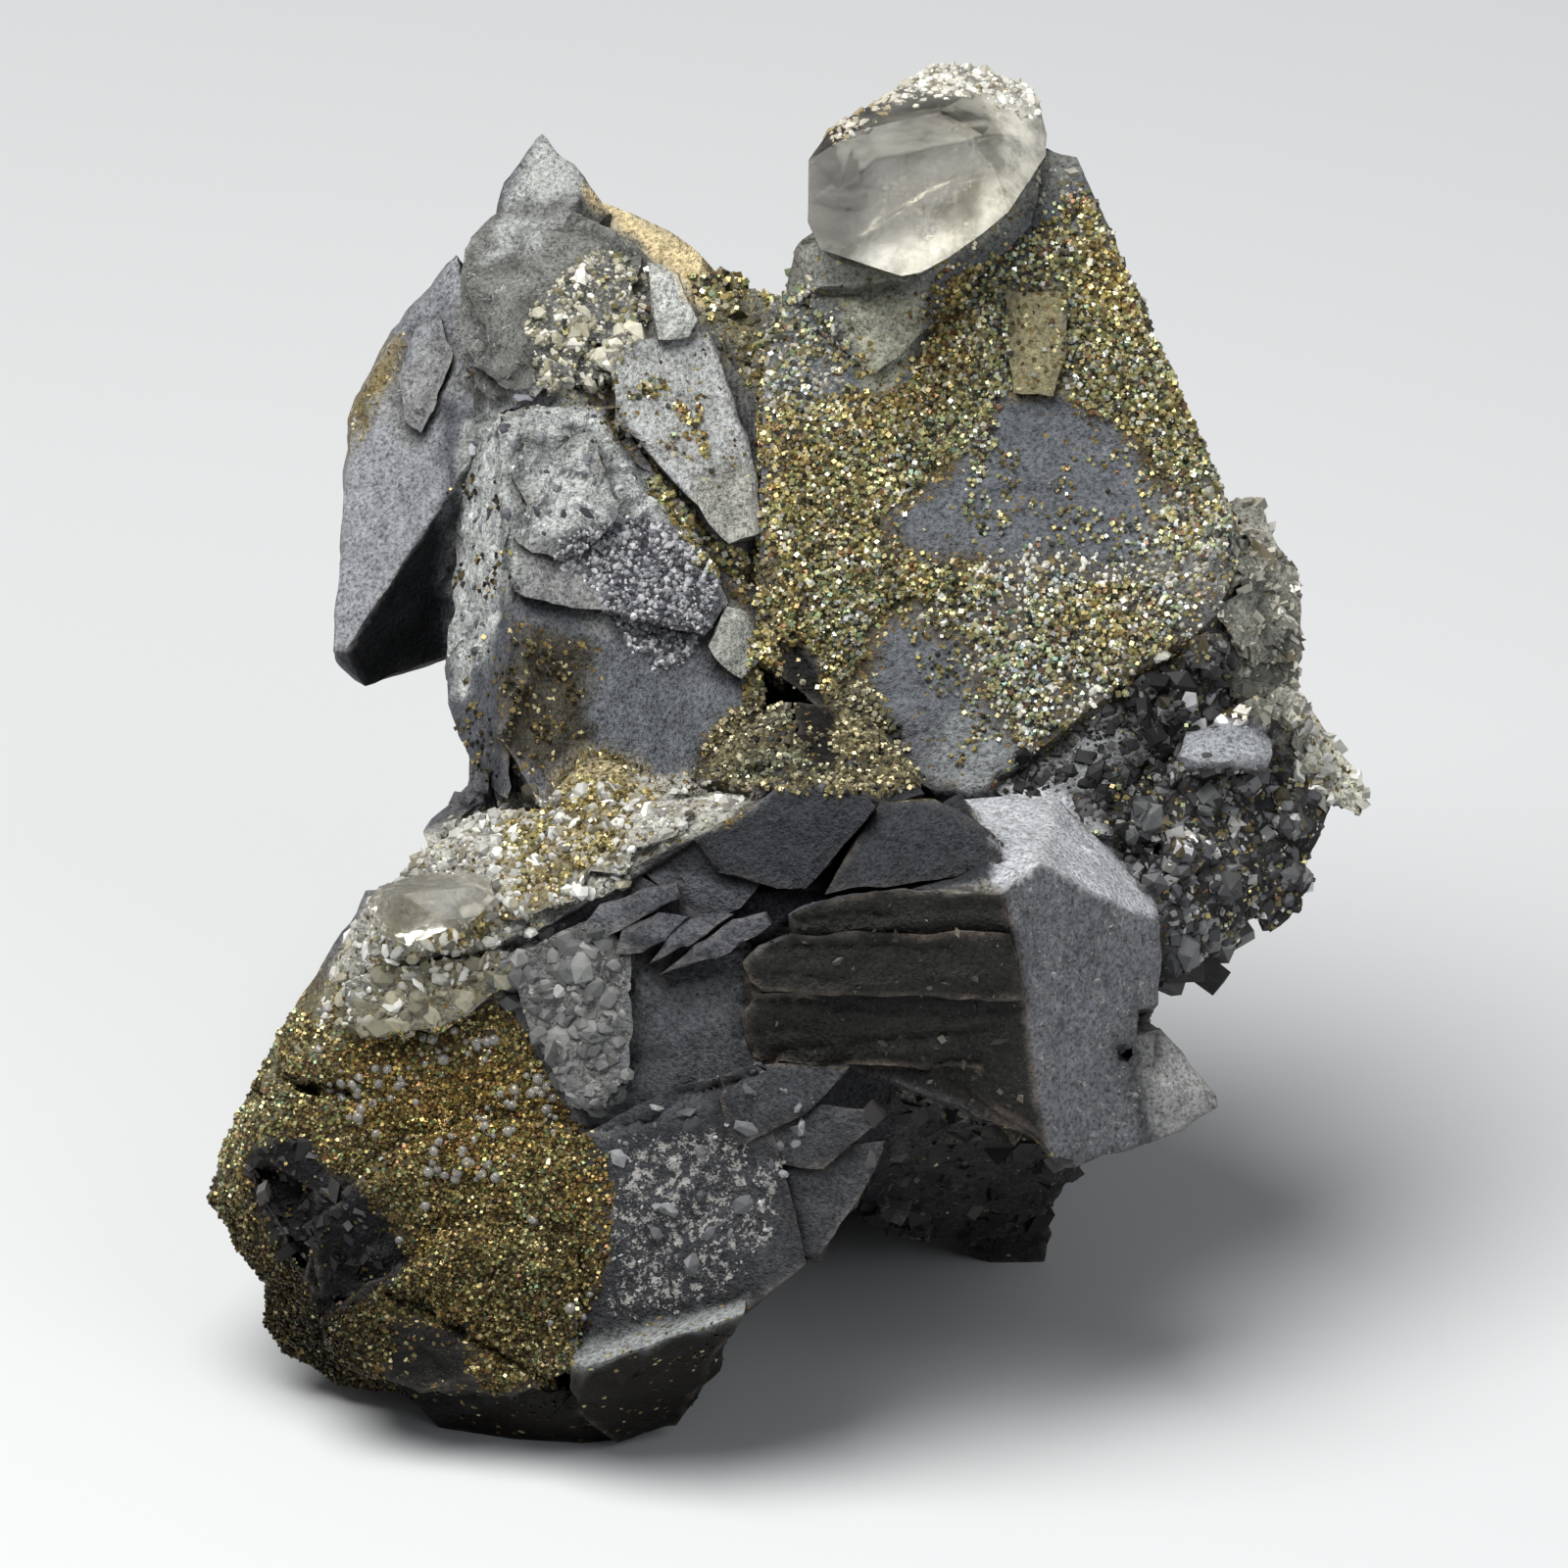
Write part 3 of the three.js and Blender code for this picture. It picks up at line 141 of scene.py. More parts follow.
creaseForm = {
    "hollow": 1.2,  # above 1 the sides of a step or crack are hollow, below 1 they bulge
    "end": 0.6,  # mm, how far it runs out past its ends
    "bend": 0.25,  # mm, how far it strays from its line
}


def creaseAt(points, line, height, above, below):
    # the relief of a line in the view: full height on it, fading above and below it as it runs right
    relief = np.zeros(len(points))
    for start, end in zip(np.array(line[:-1], float), np.array(line[1:], float)):
        along = end - start
        length = np.hypot(*along)
        along = along / length
        gap = points[:, :2] - start
        forward = gap @ along
        side = gap @ np.array([-along[1], along[0]])
        width = np.where(side > 0, above, below)
        fade = np.clip(1 - np.abs(side) / width, 0, 1) ** creaseForm["hollow"]
        beyond = np.maximum(np.maximum(-forward, forward - length), 0)
        relief = np.maximum(relief, fade * np.clip(1 - beyond / creaseForm["end"], 0, 1))
    return relief * height


def srgb(red, green, blue):
    # a colour as a picture gives it, from 0 to 255, as a linear one
    values = np.array([red, green, blue], float) / 255
    return np.where(values <= 0.04045, values / 12.92, ((values + 0.055) / 1.055) ** 2.4)


def selectOnly(piece):
    bpy.ops.object.select_all(action="DESELECT")
    piece.select_set(True)
    bpy.context.view_layer.objects.active = piece


def copyOfNode(node, name):
    # a merged copy of a CAD node's mesh, as an object of its own
    piece = bpy.data.objects.new(name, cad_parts[node].data.copy())
    bpy.context.scene.collection.objects.link(piece)
    piece.data.name = name
    piece.data.materials.clear()
    selectOnly(piece)
    bpy.ops.object.mode_set(mode="EDIT")
    bpy.ops.mesh.select_all(action="SELECT")
    bpy.ops.mesh.remove_doubles(threshold=0.000003)  # metres, well under the smallest face
    bpy.ops.object.mode_set(mode="OBJECT")
    return piece


# Each round of refine halves edges that are longer than this, in mm
halvings = (9, 6.5, 4.5, 3.2, 2.3, 1.6, 1.15, 0.8, 0.57, 0.4, 0.4)


def refine(piece, longest):
    # halves each edge that is longer than longest(middles, normals) says, in mm, the longest ones first
    mesh = piece.data
    selectOnly(piece)
    bpy.context.tool_settings.mesh_select_mode = (False, True, False)
    for limit in halvings:
        ends = np.empty(len(mesh.edges) * 2, np.int32)
        mesh.edges.foreach_get("vertices", ends)
        ends = ends.reshape(-1, 2)
        points, normals = pointsOf(mesh), normalsOf(mesh)
        first, second = points[ends[:, 0]], points[ends[:, 1]]
        lengths = np.linalg.norm(first - second, axis=1)
        tooLong = lengths > limit
        facing = (normals[ends[tooLong, 0]] + normals[ends[tooLong, 1]]) / 2
        tooLong[tooLong] = lengths[tooLong] > longest((first[tooLong] + second[tooLong]) / 2, facing)
        if not tooLong.any():
            continue
        mesh.vertices.foreach_set("select", np.zeros(len(mesh.vertices), bool))
        mesh.polygons.foreach_set("select", np.zeros(len(mesh.polygons), bool))
        mesh.edges.foreach_set("select", tooLong)
        bpy.ops.object.mode_set(mode="EDIT")
        bpy.ops.mesh.subdivide(number_cuts=1, smoothness=0)
        bpy.ops.mesh.select_all(action="SELECT")
        bpy.ops.mesh.quads_convert_to_tris(quad_method="SHORTEST_DIAGONAL", ngon_method="BEAUTY")
        bpy.ops.object.mode_set(mode="OBJECT")
    bpy.context.tool_settings.mesh_select_mode = (True, False, False)


def pointsOf(mesh):
    points = np.empty(len(mesh.vertices) * 3)
    mesh.vertices.foreach_get("co", points)
    return toSeen(points.reshape(-1, 3))


def normalsOf(mesh):
    normals = np.empty(len(mesh.vertices) * 3)
    mesh.vertex_normals.foreach_get("vector", normals)
    return normals.reshape(-1, 3) @ seenAxes.T


def movePoints(mesh, points):
    mesh.vertices.foreach_set("co", toModel(points).ravel())
    mesh.update()


def storeColour(mesh, name, colours):
    layer = mesh.color_attributes.new(name=name, type="FLOAT_COLOR", domain="POINT")
    full = np.ones((len(colours), 4), np.float32)
    full[:, :3] = colours
    layer.data.foreach_set("color", full.ravel())


def storeValue(mesh, name, values):
    layer = mesh.attributes.new(name=name, type="FLOAT", domain="POINT")
    layer.data.foreach_set("value", np.asarray(values, np.float32))


def meshFrom(name, points, faces):
    # a new object from seen points and faces that all have the same number of corners
    mesh = bpy.data.meshes.new(name)
    corners = faces.shape[1]
    mesh.vertices.add(len(points))
    mesh.vertices.foreach_set("co", toModel(points).ravel())
    mesh.loops.add(faces.size)
    mesh.loops.foreach_set("vertex_index", faces.ravel())
    mesh.polygons.add(len(faces))
    mesh.polygons.foreach_set("loop_start", np.arange(len(faces)) * corners)
    mesh.update(calc_edges=True)
    mesh.shade_flat()
    piece = bpy.data.objects.new(name, mesh)
    bpy.context.scene.collection.objects.link(piece)
    return piece


def finishPiece(piece, material, replaced=()):
    piece.data.materials.clear()
    piece.data.materials.append(material)
    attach(piece, "root")
    if replaced:
        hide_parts(*replaced)


def shapeOf(kind):
    # corners and faces of one small crystal, about 1 across, whose copies are made uneven one by one
    bpy.ops.object.select_all(action="DESELECT")
    if kind == "cube":
        bpy.ops.mesh.primitive_cube_add(size=1)
    elif kind == "rhomb":
        # a cube on its corner, pressed flatter below
        bpy.ops.mesh.primitive_cube_add(size=1, rotation=(math.atan(math.sqrt(2)), 0, 0.785))
    elif kind == "octahedron":
        bpy.ops.mesh.primitive_cone_add(vertices=4, radius1=0.7, depth=0.7, location=(0, 0, 0.35))
    elif kind == "bead":
        bpy.ops.mesh.primitive_ico_sphere_add(subdivisions=2, radius=0.5)
    else:
        bpy.ops.mesh.primitive_ico_sphere_add(subdivisions=1, radius=0.5)
    piece = bpy.context.object
    bpy.ops.object.transform_apply(location=True, rotation=True, scale=True)
    bpy.ops.object.mode_set(mode="EDIT")
    bpy.ops.mesh.select_all(action="SELECT")
    if kind == "rhomb":
        bpy.ops.transform.resize(value=(1, 1, 0.72))
    if kind == "octahedron":
        # the lower point of the crystal
        bpy.ops.mesh.select_all(action="DESELECT")
        shape = bmesh.from_edit_mesh(piece.data)
        base = [face for face in shape.faces if face.normal.z < -0.9]
        for face in base:
            face.select_set(True)
        bmesh.update_edit_mesh(piece.data)
        bpy.ops.mesh.extrude_region_move(TRANSFORM_OT_translate={"value": (0, 0, -0.7)})
        bpy.ops.mesh.merge(type="CENTER")
        bpy.ops.mesh.select_all(action="SELECT")
    bpy.ops.mesh.quads_convert_to_tris(quad_method="BEAUTY", ngon_method="BEAUTY")
    bpy.ops.mesh.normals_make_consistent(inside=False)
    bpy.ops.object.mode_set(mode="OBJECT")
    corners = np.array([tuple(vertex.co) for vertex in piece.data.vertices])
    faces = np.array([tuple(face.vertices) for face in piece.data.polygons])
    bpy.data.objects.remove(piece)
    return corners, faces


def turnsFor(normals, lean, chance):
    # a frame for each grain, with its own up leaning off the surface's normal and a free turn about it
    ups = normals + lean * chance.normal(size=normals.shape)
    ups /= np.linalg.norm(ups, axis=1)[:, None]
    sides = np.cross(ups, chance.normal(size=normals.shape))
    sides /= np.linalg.norm(sides, axis=1)[:, None]
    return np.stack([sides, np.cross(ups, sides), ups], axis=1)


def grainsAt(
    name, kind, places, normals, sizes, tints, chance, lean=5.0, flatten=1.0, jitter=0.0, uneven=0.0
):
    # one mesh of many small crystals of one kind: how far they lean off the surface's normal, how flat
    # they are, and how much their corners and their proportions differ
    corners, faces = shapes[kind]
    count = len(places)
    frames = turnsFor(normals, lean, chance)
    local = corners[None] * sizes[:, None, None] * np.array([1, 1, flatten])
    local = local * np.exp(uneven * chance.normal(size=(count, 1, 3)))
    if jitter:
        local = local * (1 + jitter * chance.normal(size=(count, len(corners), 1)))
    points = np.einsum("nvk,nkd->nvd", local, frames) + places[:, None]
    firsts = np.arange(count)[:, None, None] * len(corners)
    allFaces = (faces[None] + firsts).reshape(-1, faces.shape[1])
    piece = meshFrom(name, points.reshape(-1, 3), allFaces)
    storeColour(piece.data, "tint", np.repeat(tints, len(corners), axis=0))
    return piece


def joined(pieces, name):
    # one piece from one or more
    if len(pieces) > 1:
        selectOnly(pieces[0])
        for piece in pieces:
            piece.select_set(True)
        bpy.ops.object.join()
    pieces[0].name = name
    pieces[0].data.name = name
    return pieces[0]


lowest = 0.0013  # metres, no small crystal grows under this height, so that none reaches the floor


def spread(mesh, perSquare, place, allowed, chance):
    # random points on a mesh, about perSquare for each square mm, in the place and where allowed says
    mesh.calc_loop_triangles()
    triangles = np.empty(len(mesh.loop_triangles) * 3, np.int32)
    mesh.loop_triangles.foreach_get("vertices", triangles)
    triangles = triangles.reshape(-1, 3)
    points = pointsOf(mesh)
    a, b, c = points[triangles[:, 0]], points[triangles[:, 1]], points[triangles[:, 2]]
    across = np.cross(b - a, c - a)
    area = np.linalg.norm(across, axis=1) / 2
    normal = across / np.maximum(2 * area, 1e-9)[:, None]
    middles = (a + b + c) / 3
    rows = np.nonzero(place(middles, normal))[0]
    weight = np.zeros(len(area))
    weight[rows] = area[rows] * allowed(middles[rows])
    count = chance.poisson(weight * perSquare)
    chosen = np.repeat(np.arange(len(triangles)), count)
    u, v = chance.random(len(chosen)), chance.random(len(chosen))
    over = u + v > 1
    u[over], v[over] = 1 - u[over], 1 - v[over]
    places = a[chosen] + u[:, None] * (b - a)[chosen] + v[:, None] * (c - a)[chosen]
    offFloor = toModel(places)[:, 2] > lowest
    return places[offFloor], normal[chosen[offFloor]]


def mixOf(name, count, chance, change):
    # a colour for each grain from a named mix, each a little lighter or darker
    colours, weights = zip(*grainMixes[name])
    table = np.array([srgb(*colour) for colour in colours])
    picked = chance.choice(len(colours), size=count, p=np.array(weights) / np.sum(weights))
    return table[picked] * np.exp(change * chance.normal(size=(count, 1)))


# Outlines of the places that the view shows: right and up in mm
outlines = {
    "tallFace": [
        (-1.5, 7), (-1.2, 20.5), (0.6, 29.7), (5, 33.5), (14.6, 35.3), (16.2, 34.8), (24.9, 14.8),
        (24.3, 9.5), (10.8, -0.3), (4.6, 5.2),
    ],
    "tallGreyLeft": [(-1, 28), (3.4, 27.8), (4.4, 23.6), (2.6, 21.6), (-1.4, 21)],
    "tallPaleRight": [
        (19.6, 13.4), (21, 15.6), (23, 17), (25, 15.2), (25, 10), (22.6, 9), (20, 11),
    ],
    "spireShoulder": [
        (-18, 22), (-18, 30), (-14, 32.4), (-10, 31.8), (-6.6, 28.6), (-7.4, 26), (-7.8, 24.2),
        (-10.2, 21.8), (-12.4, 21), (-16.4, 20.6),
    ],
    "spirePale": [
        (-18.5, 8), (-18, 20), (-16.6, 21.4), (-10, 21), (-9, 18.4), (-6.2, 15.8), (-4, 12.6),
        (-5, 11), (-9, 12.6), (-11.5, 13.4), (-14, 13), (-15.6, 10.5), (-17, 5), (-18.4, 4.6),
    ],
    "spireGrains": [
        (-13, 13.4), (-9.6, 14.6), (-5.2, 14.4), (-3.4, 11.6), (-3.9, 9.4), (-4.8, 7.4),
        (-6.6, 5.9), (-9.4, 8.4), (-10.4, 10.6), (-12.4, 12),
    ],
    "spireLap": [
        (-14.8, 12.4), (-12.6, 13.2), (-10.6, 11.8), (-9.7, 9.6), (-9.2, 7.6), (-10.6, 8.4),
        (-12.4, 9.8), (-14.6, 10.2),
    ],
    "sliver": [
        (-9.9, 24.4), (-4.2, 25), (-3.3, 23.2), (-2.6, 20), (-1.4, 16.5), (-1.3, 13.7),
        (-3.1, 13.2), (-5, 15.6), (-8.9, 19.6),
    ],
    "spireWindow": [
        (-7.5, 28.7), (-5.9, 28.2), (-4.9, 25.8), (-5.2, 24.8), (-6.9, 24.7), (-7.3, 26.5),
    ],
    "pebble": [(-2.9, 9.9), (-1.5, 9.3), (-1.2, 7), (-2.1, 5.7), (-3, 6.2), (-4.2, 7.9)],
    "spireFoot": [
        (-15.6, 5.4), (-14.8, 8.8), (-10.6, 8), (-10.4, 4), (-10.6, 2), (-13.6, 0.4), (-15.4, 2),
    ],
    "band": [
        (-1, -0.3), (-3, -1.8), (-5, -3.1), (-7, -3.7), (-8.1, -5), (-9.3, -6), (-11, -6.6),
        (-13, -7), (-13.4, -8.2), (-15.1, -9.4), (-17.6, -10.8), (-20, -12), (-23.6, -13),
        (-26, -13.4), (-24, -8), (-20, -2.6), (-15, -0.6), (-8, 0.4),
    ],
    "bandGold": [
        (-15.8, -2.2), (-13, -1), (-12.6, 0.6), (-10.6, 2), (-9, 1.4), (-6.8, -0.2), (-8.2, -2.6),
        (-9.2, -4.4), (-11.6, -4.2), (-12, -5.8), (-15, -7.4), (-17.4, -9), (-20.6, -10.6),
        (-22.4, -10.4), (-19, -8.4), (-15.6, -7), (-15, -4.6),
    ],
    "frontGold": [
        (-24.6, -13.4), (-19.6, -13.6), (-17.4, -12.6), (-15.2, -12), (-14, -14), (-12.4, -17.2),
        (-11, -18.8), (-9.6, -20.6), (-9.4, -25), (-10.8, -29.6), (-12, -33), (-22, -34),
        (-30, -31), (-32, -24), (-31, -17), (-27, -12.4),
    ],
    "frontVeil": [
        (-15.4, -8.6), (-12.6, -7.4), (-9.6, -7.8), (-8.4, -9.6), (-8.4, -13), (-8.3, -16.4),
        (-9.4, -18.4), (-11.6, -18.2), (-12.8, -15.6), (-14.4, -12.4), (-15.6, -10.8),
    ],
    "frontClearRim": [
        (-24.6, -11.6), (-22, -10.2), (-15.4, -9.4), (-14.4, -10.8), (-17, -12.4), (-18.4, -13.4),
        (-20.6, -13.4), (-22.4, -14.2), (-24.2, -13.4),
    ],
    "frontHollow": [
        (-29.8, -20.2), (-27.6, -19.2), (-25.8, -20.2), (-23.4, -21.8), (-21.8, -23.8),
        (-20.4, -26.2), (-22.2, -28.2), (-25.2, -29.4), (-26.6, -27.4), (-28, -25.6),
        (-29.2, -23.4),
    ],
    "frontDark": [
        (-12, -18.8), (-9.4, -19.4), (-6, -17.2), (-1.6, -15.2), (6, -15), (6, -27), (-3, -32),
        (-12, -32),
    ],
    "lowerBlock": [
        (-11.9, -31.9), (-5, -30.1), (-2, -28.9), (-1.6, -31), (-5.6, -36), (-12, -37.4),
        (-20, -36),
    ],
    "ledge": [
        (-12, -31.8), (-11.6, -30.9), (-5.6, -29), (-2, -27.9), (-2, -28.9), (-5, -30.2),
        (-11, -32.1),
    ],
    "terraces": [
        (-8.2, -4.3), (-5, -2.9), (-1.6, -1.5), (-0.3, -0.3), (4.6, 0), (9.9, 0), (9.8, -0.9),
        (11.8, -3.6), (11.2, -5.4), (6, -5.8), (0.4, -6.6), (-4, -7.6), (-6.6, -6.4),
    ],
    "ridgedDark": [
        (12.1, -6), (6, -5.7), (3, -6.1), (0.2, -7), (-2.4, -9.6), (-2.2, -14), (-1.5, -15.2),
        (4, -15.6), (9, -17.2), (13, -19.3), (14.4, -19.8), (13.5, -13.2),
    ],
    "ridgedGrey": [
        (12.1, -6), (14, -4.4), (17.6, -6.2), (20.7, -7.8), (20.8, -12), (19.6, -16), (20.2, -20),
        (16, -21), (14.3, -19.8), (13.4, -13.2),
    ],
    "ridgedTop": [
        (11.2, -5.4), (11.8, -3.7), (9.8, -0.8), (9.9, 0.2), (15, 0), (17, -1.8), (20.9, -7.6),
        (17.6, -6.3), (14, -4.5), (12, -6),
    ],
    "tooth": [(19.8, -12.4), (22, -14.4), (24.2, -17.8), (22, -19.4), (20, -20), (19.6, -16)],
    "lowerMatrix": [
        (2, -15.6), (9, -17.2), (14.3, -19.9), (17.5, -20.8), (16, -27.5), (4, -26), (3.6, -23),
        (5.6, -19),
    ],
    "rightMatrix": [
        (11, -0.2), (24.5, 9), (24.6, 4), (29, 5), (33, -1), (28, -7.5), (24, -11.5), (20.4, -12),
        (20.9, -7.6), (15.6, -0.6),
    ],
    "rightWall": [
        (24.2, 16.6), (27, 16.6), (29.4, 11), (29.4, 4.6), (27.4, 2.6), (24.8, 4.2), (24.2, 9),
        (24.8, 13),
    ],
    "rightSpur": [(29, 5), (33, -0.6), (31.4, -1.8), (29.6, -1), (28.4, 1), (27, 3)],
    "shelf": [(21.4, 2.8), (22, 0.8), (27, 0.8), (27.2, 2.8), (24.8, 3.6)],
    "valley": [
        (-5.4, 0.2), (-3.6, 3.4), (-0.8, 6), (-1.4, 12), (-0.6, 13), (0.6, 5.6), (4.8, 5.4),
        (8, 0), (4, -0.9), (-1, -0.2),
    ],
    "backRidge": [(-5.4, 28.4), (1, 28.4), (1, 20.8), (-1, 20.8), (-3.8, 24.4)],
    "amber": [(-11, 33), (-3.2, 29), (-3.4, 26), (-9, 28)],
    "leftLight": [(-18, 30), (-26, 20), (-26, 5), (-24.3, 7.2), (-17.3, 17.9), (-17, 26)],
    "leftDark": [(-24.4, 7.2), (-17.4, 17.9), (-18.4, 6.6), (-23, 5.2)],
    "spireSide": [
        (-19, 21), (-16.4, 21), (-15.2, 13), (-14.6, 8), (-15.4, 2), (-13, -1.5), (-16.5, 0),
        (-19, 5),
    ],
    "spireLow": [
        (-13.5, 9), (-9.4, 8), (-6, 6), (-4, 5.5), (-1.2, 5), (-0.8, 1), (-4, 0.2), (-8, 0.4),
        (-12, 1),
    ],
    "spireTip": [(-16.6, 29), (-15.2, 33.5), (-13, 36.5), (-11, 34), (-12, 31.6), (-13.4, 29.6)],
    "sliverFoot": [(-5, 17), (-2.8, 18.4), (-1, 16.4), (-1, 13.4), (-3.2, 12.9), (-5.2, 15.6)],
    "tallSide": [
        (16, 35.4), (17.2, 34.8), (20.5, 28), (26, 16), (25.4, 9.4), (24.5, 9.6), (24.7, 15),
        (20, 25),
    ],
    "tallFoot": [(0.2, 27.4), (0.4, 31.4), (7.5, 30.4), (7, 27.4), (3.6, 26.4)],
    "tallTab": [(12.2, 27.6), (15.6, 27.8), (15.8, 21.4), (12.6, 21.2)],
    "frontLowGrey": [(-21.6, -29.4), (-17.4, -29.6), (-16.6, -34.2), (-20, -34.4), (-22, -33)],
    "shards": [
        (-9.4, -4.9), (-6.6, -4.6), (-3.6, -5.4), (0.4, -6.5), (0, -7.6), (-4.8, -9.8),
        (-8.4, -8.2),
    ],
    "tallLowBand": [
        (7, 9), (12, 13.2), (19, 12.6), (22.4, 11), (23, 8.8), (13.2, 1.4), (11.4, 5), (9, 8.4),
    ],
    "frontScales": [
        (-9.4, -17.6), (-6, -16.6), (-1.6, -15), (3, -16), (0.6, -21), (-4, -27), (-10, -29),
        (-9.6, -22),
    ],
    "shoulderRough": [
        (-14.6, 25.2), (-12.4, 28.6), (-10.4, 30), (-7.4, 28.4), (-7.6, 24.6), (-10, 21.6),
        (-13.4, 21.2),
    ],
    "tallHigh": [
        (15.8, 34.6), (19.4, 28.4), (24.8, 16.4), (22.4, 13.6), (20, 19), (15.4, 21.4),
        (11.8, 21.6), (11.6, 18.8), (10.4, 15.4), (10.2, 18.4), (7.4, 17), (5.2, 20.8),
        (7.8, 24.8), (10, 28.4), (14.6, 31),
    ],
    "tallLeft": [
        (-1.4, 7), (-1.4, 21.6), (1.6, 26.4), (5.6, 22.6), (7, 16), (6.6, 13.4), (9.4, 11.6),
        (5, 9.6), (2.4, 4.6),
    ],
    "sliverCrack": [
        (-9.4, 20.8), (-7, 17.6), (-3.4, 13.2), (-1.2, 12.6), (-0.6, 6), (-2.4, 4.4), (-1.4, 9.6),
        (-4.6, 11.8), (-8.8, 18.6),
    ],
    "frontDusting": [
        (-9.6, -19.4), (-5, -18.6), (0, -20.6), (-0.8, -25), (-4, -28.6), (-9.6, -29.4),
        (-9.8, -24),
    ],
    "leftOverlay": [(-21.6, 21.4), (-20, 25), (-18.6, 25), (-18.8, 21.6), (-20.6, 18.6), (-22, 19)],
    "leftGold": [
        (-24.6, 20.4), (-23.4, 22.6), (-21.8, 24.6), (-21.8, 23), (-23, 20.4), (-24.4, 18.6),
    ],
    "matrixInner": [
        (11, -0.2), (15, 2.4), (22.4, 8), (21.4, 3), (20.6, -1), (20.4, -6), (17, -1), (14, 0),
    ],
    "frontMiddle": [
        (-8.6, -7.6), (-4, -9.4), (-2.4, -10), (-2.2, -14.4), (-1.2, -15.4), (-6, -17.4),
        (-9.2, -19.4), (-8.3, -16.4), (-8.4, -12),
    ],
    "crevice": [(-0.4, 7.8), (0.8, 8.6), (2.4, 6), (2.8, 3.4), (3, 1.2), (1.4, 0.6), (0.4, 3)],
    "tallHighGrey": [
        (1, 27.6), (3.4, 33), (9, 34.6), (15.6, 35.2), (16.6, 34), (14, 32), (8.8, 28.6),
        (4, 26.2),
    ],
    "ridgedEnds": [(-3.2, -7.6), (2.4, -6), (5.6, -6.4), (5.4, -15.6), (-1.6, -15.8), (-3, -13)],
    "crown": [
        (1.4, 36.2), (8.6, 41), (15.4, 40.4), (15.4, 36.6), (12.9, 37.2), (9.4, 38.4), (5.6, 37.1),
        (3, 35.4),
    ],
    "tallPoint": [(8.4, 3.2), (10.6, 4.4), (12.6, 2.2), (13.6, 1.8), (10.8, -0.4), (8, 0.4)],
    "tallUnder": [
        (11.4, -0.2), (13.6, 1.7), (17, 4.4), (19, 5), (19.4, 2), (17.4, -0.4), (14.4, -0.2),
    ],
    "frontPaleEdge": [
        (-32, -23.6), (-32, -17), (-27.6, -12), (-24.4, -10.4), (-23.4, -13), (-25.6, -16.4),
        (-28.4, -18.6), (-30, -21),
    ],
    # where the clear crystal has painted brownish shade
    "murk": [
        (1, 30.4), (0.6, 36), (3.2, 37.8), (8, 38.2), (12, 37.6), (11.6, 35.6), (8, 34.6),
        (5.6, 33.4), (4.6, 31), (3.2, 29.6),
    ],
    # where its white veils are, partly real frost and partly painted light
    "milk": [
        (11.2, 38), (14, 38), (16, 34), (15, 31.4), (12, 29.8), (6, 27), (3, 28), (6.4, 29.6),
        (10.4, 31.4), (12.2, 34.6),
    ],
    "tallCone": [(2.8, 27.4), (7.8, 27.4), (7.6, 24.2), (5.8, 21.4), (4.6, 22.2), (3.6, 25)],
    "clean": [(-27, 3), (-17, 3), (-17.4, 19), (-17.6, 31), (-27, 31)],
    "cleanTips": [(-20, 31), (-6, 30), (-2, 27.2), (17.4, 27.2), (17.4, 42), (-20, 42)],
    "beads": [
        (-26, -14.6), (-20, -13.4), (-14, -13.4), (-10.4, -19), (-9.8, -26), (-12, -32),
        (-20, -31), (-22, -24),
    ],
}


def addNode(tree, kind, inputs=None, **settings):
    # a node with its settings, and each input linked to a socket or given a value
    node = tree.nodes.new("ShaderNode" + kind)
    for name, value in settings.items():
        setattr(node, name, value)
    for name, value in (inputs or {}).items():
        if isinstance(value, bpy.types.NodeSocket):
            tree.links.new(value, node.inputs[name])
        else:
            node.inputs[name].default_value = value
    return node


def newMaterial(name):
    material = bpy.data.materials.new(name)
    material.use_nodes = True
    material.node_tree.nodes.clear()
    return material, material.node_tree


def sumOf(tree, operation, first, second, third=None, clamp=False):
    inputs = {0: first, 1: second}
    if third is not None:
        inputs[2] = third
    return addNode(tree, "Math", inputs, operation=operation, use_clamp=clamp).outputs[0]


def mixColours(tree, share, first, second, blend="MIX"):
    node = addNode(tree, "Mix", {0: share, 6: first, 7: second}, data_type="RGBA", blend_type=blend)
    return node.outputs[2]


def rampOf(tree, value, stops):
    node = addNode(tree, "ValToRGB", {0: value})
    ramp = node.color_ramp
    while len(ramp.elements) < len(stops):
        ramp.elements.new(0.5)
    for element, (place, colour) in zip(ramp.elements, stops):
        element.position = place
        element.color = (*colour, 1)
    return node.outputs[0]


def noiseOf(tree, coords, scale, detail, roughness):
    inputs = {"Vector": coords, "Scale": scale, "Detail": detail, "Roughness": roughness}
    return addNode(tree, "TexNoise", inputs).outputs[0]


def attributeOf(tree, name, output="Fac"):
    return addNode(tree, "Attribute", attribute_name=name).outputs[output]


# Colours of the pyrite dust that is painted on the stone
goldStops = [
    (0.0, tuple(srgb(58, 48, 32))),
    (0.3, tuple(srgb(98, 84, 50))),
    (0.5, tuple(srgb(132, 114, 70))),
    (0.68, tuple(srgb(94, 72, 50))),
    (0.8, tuple(srgb(112, 114, 74))),
    (0.93, tuple(srgb(200, 188, 146))),
]


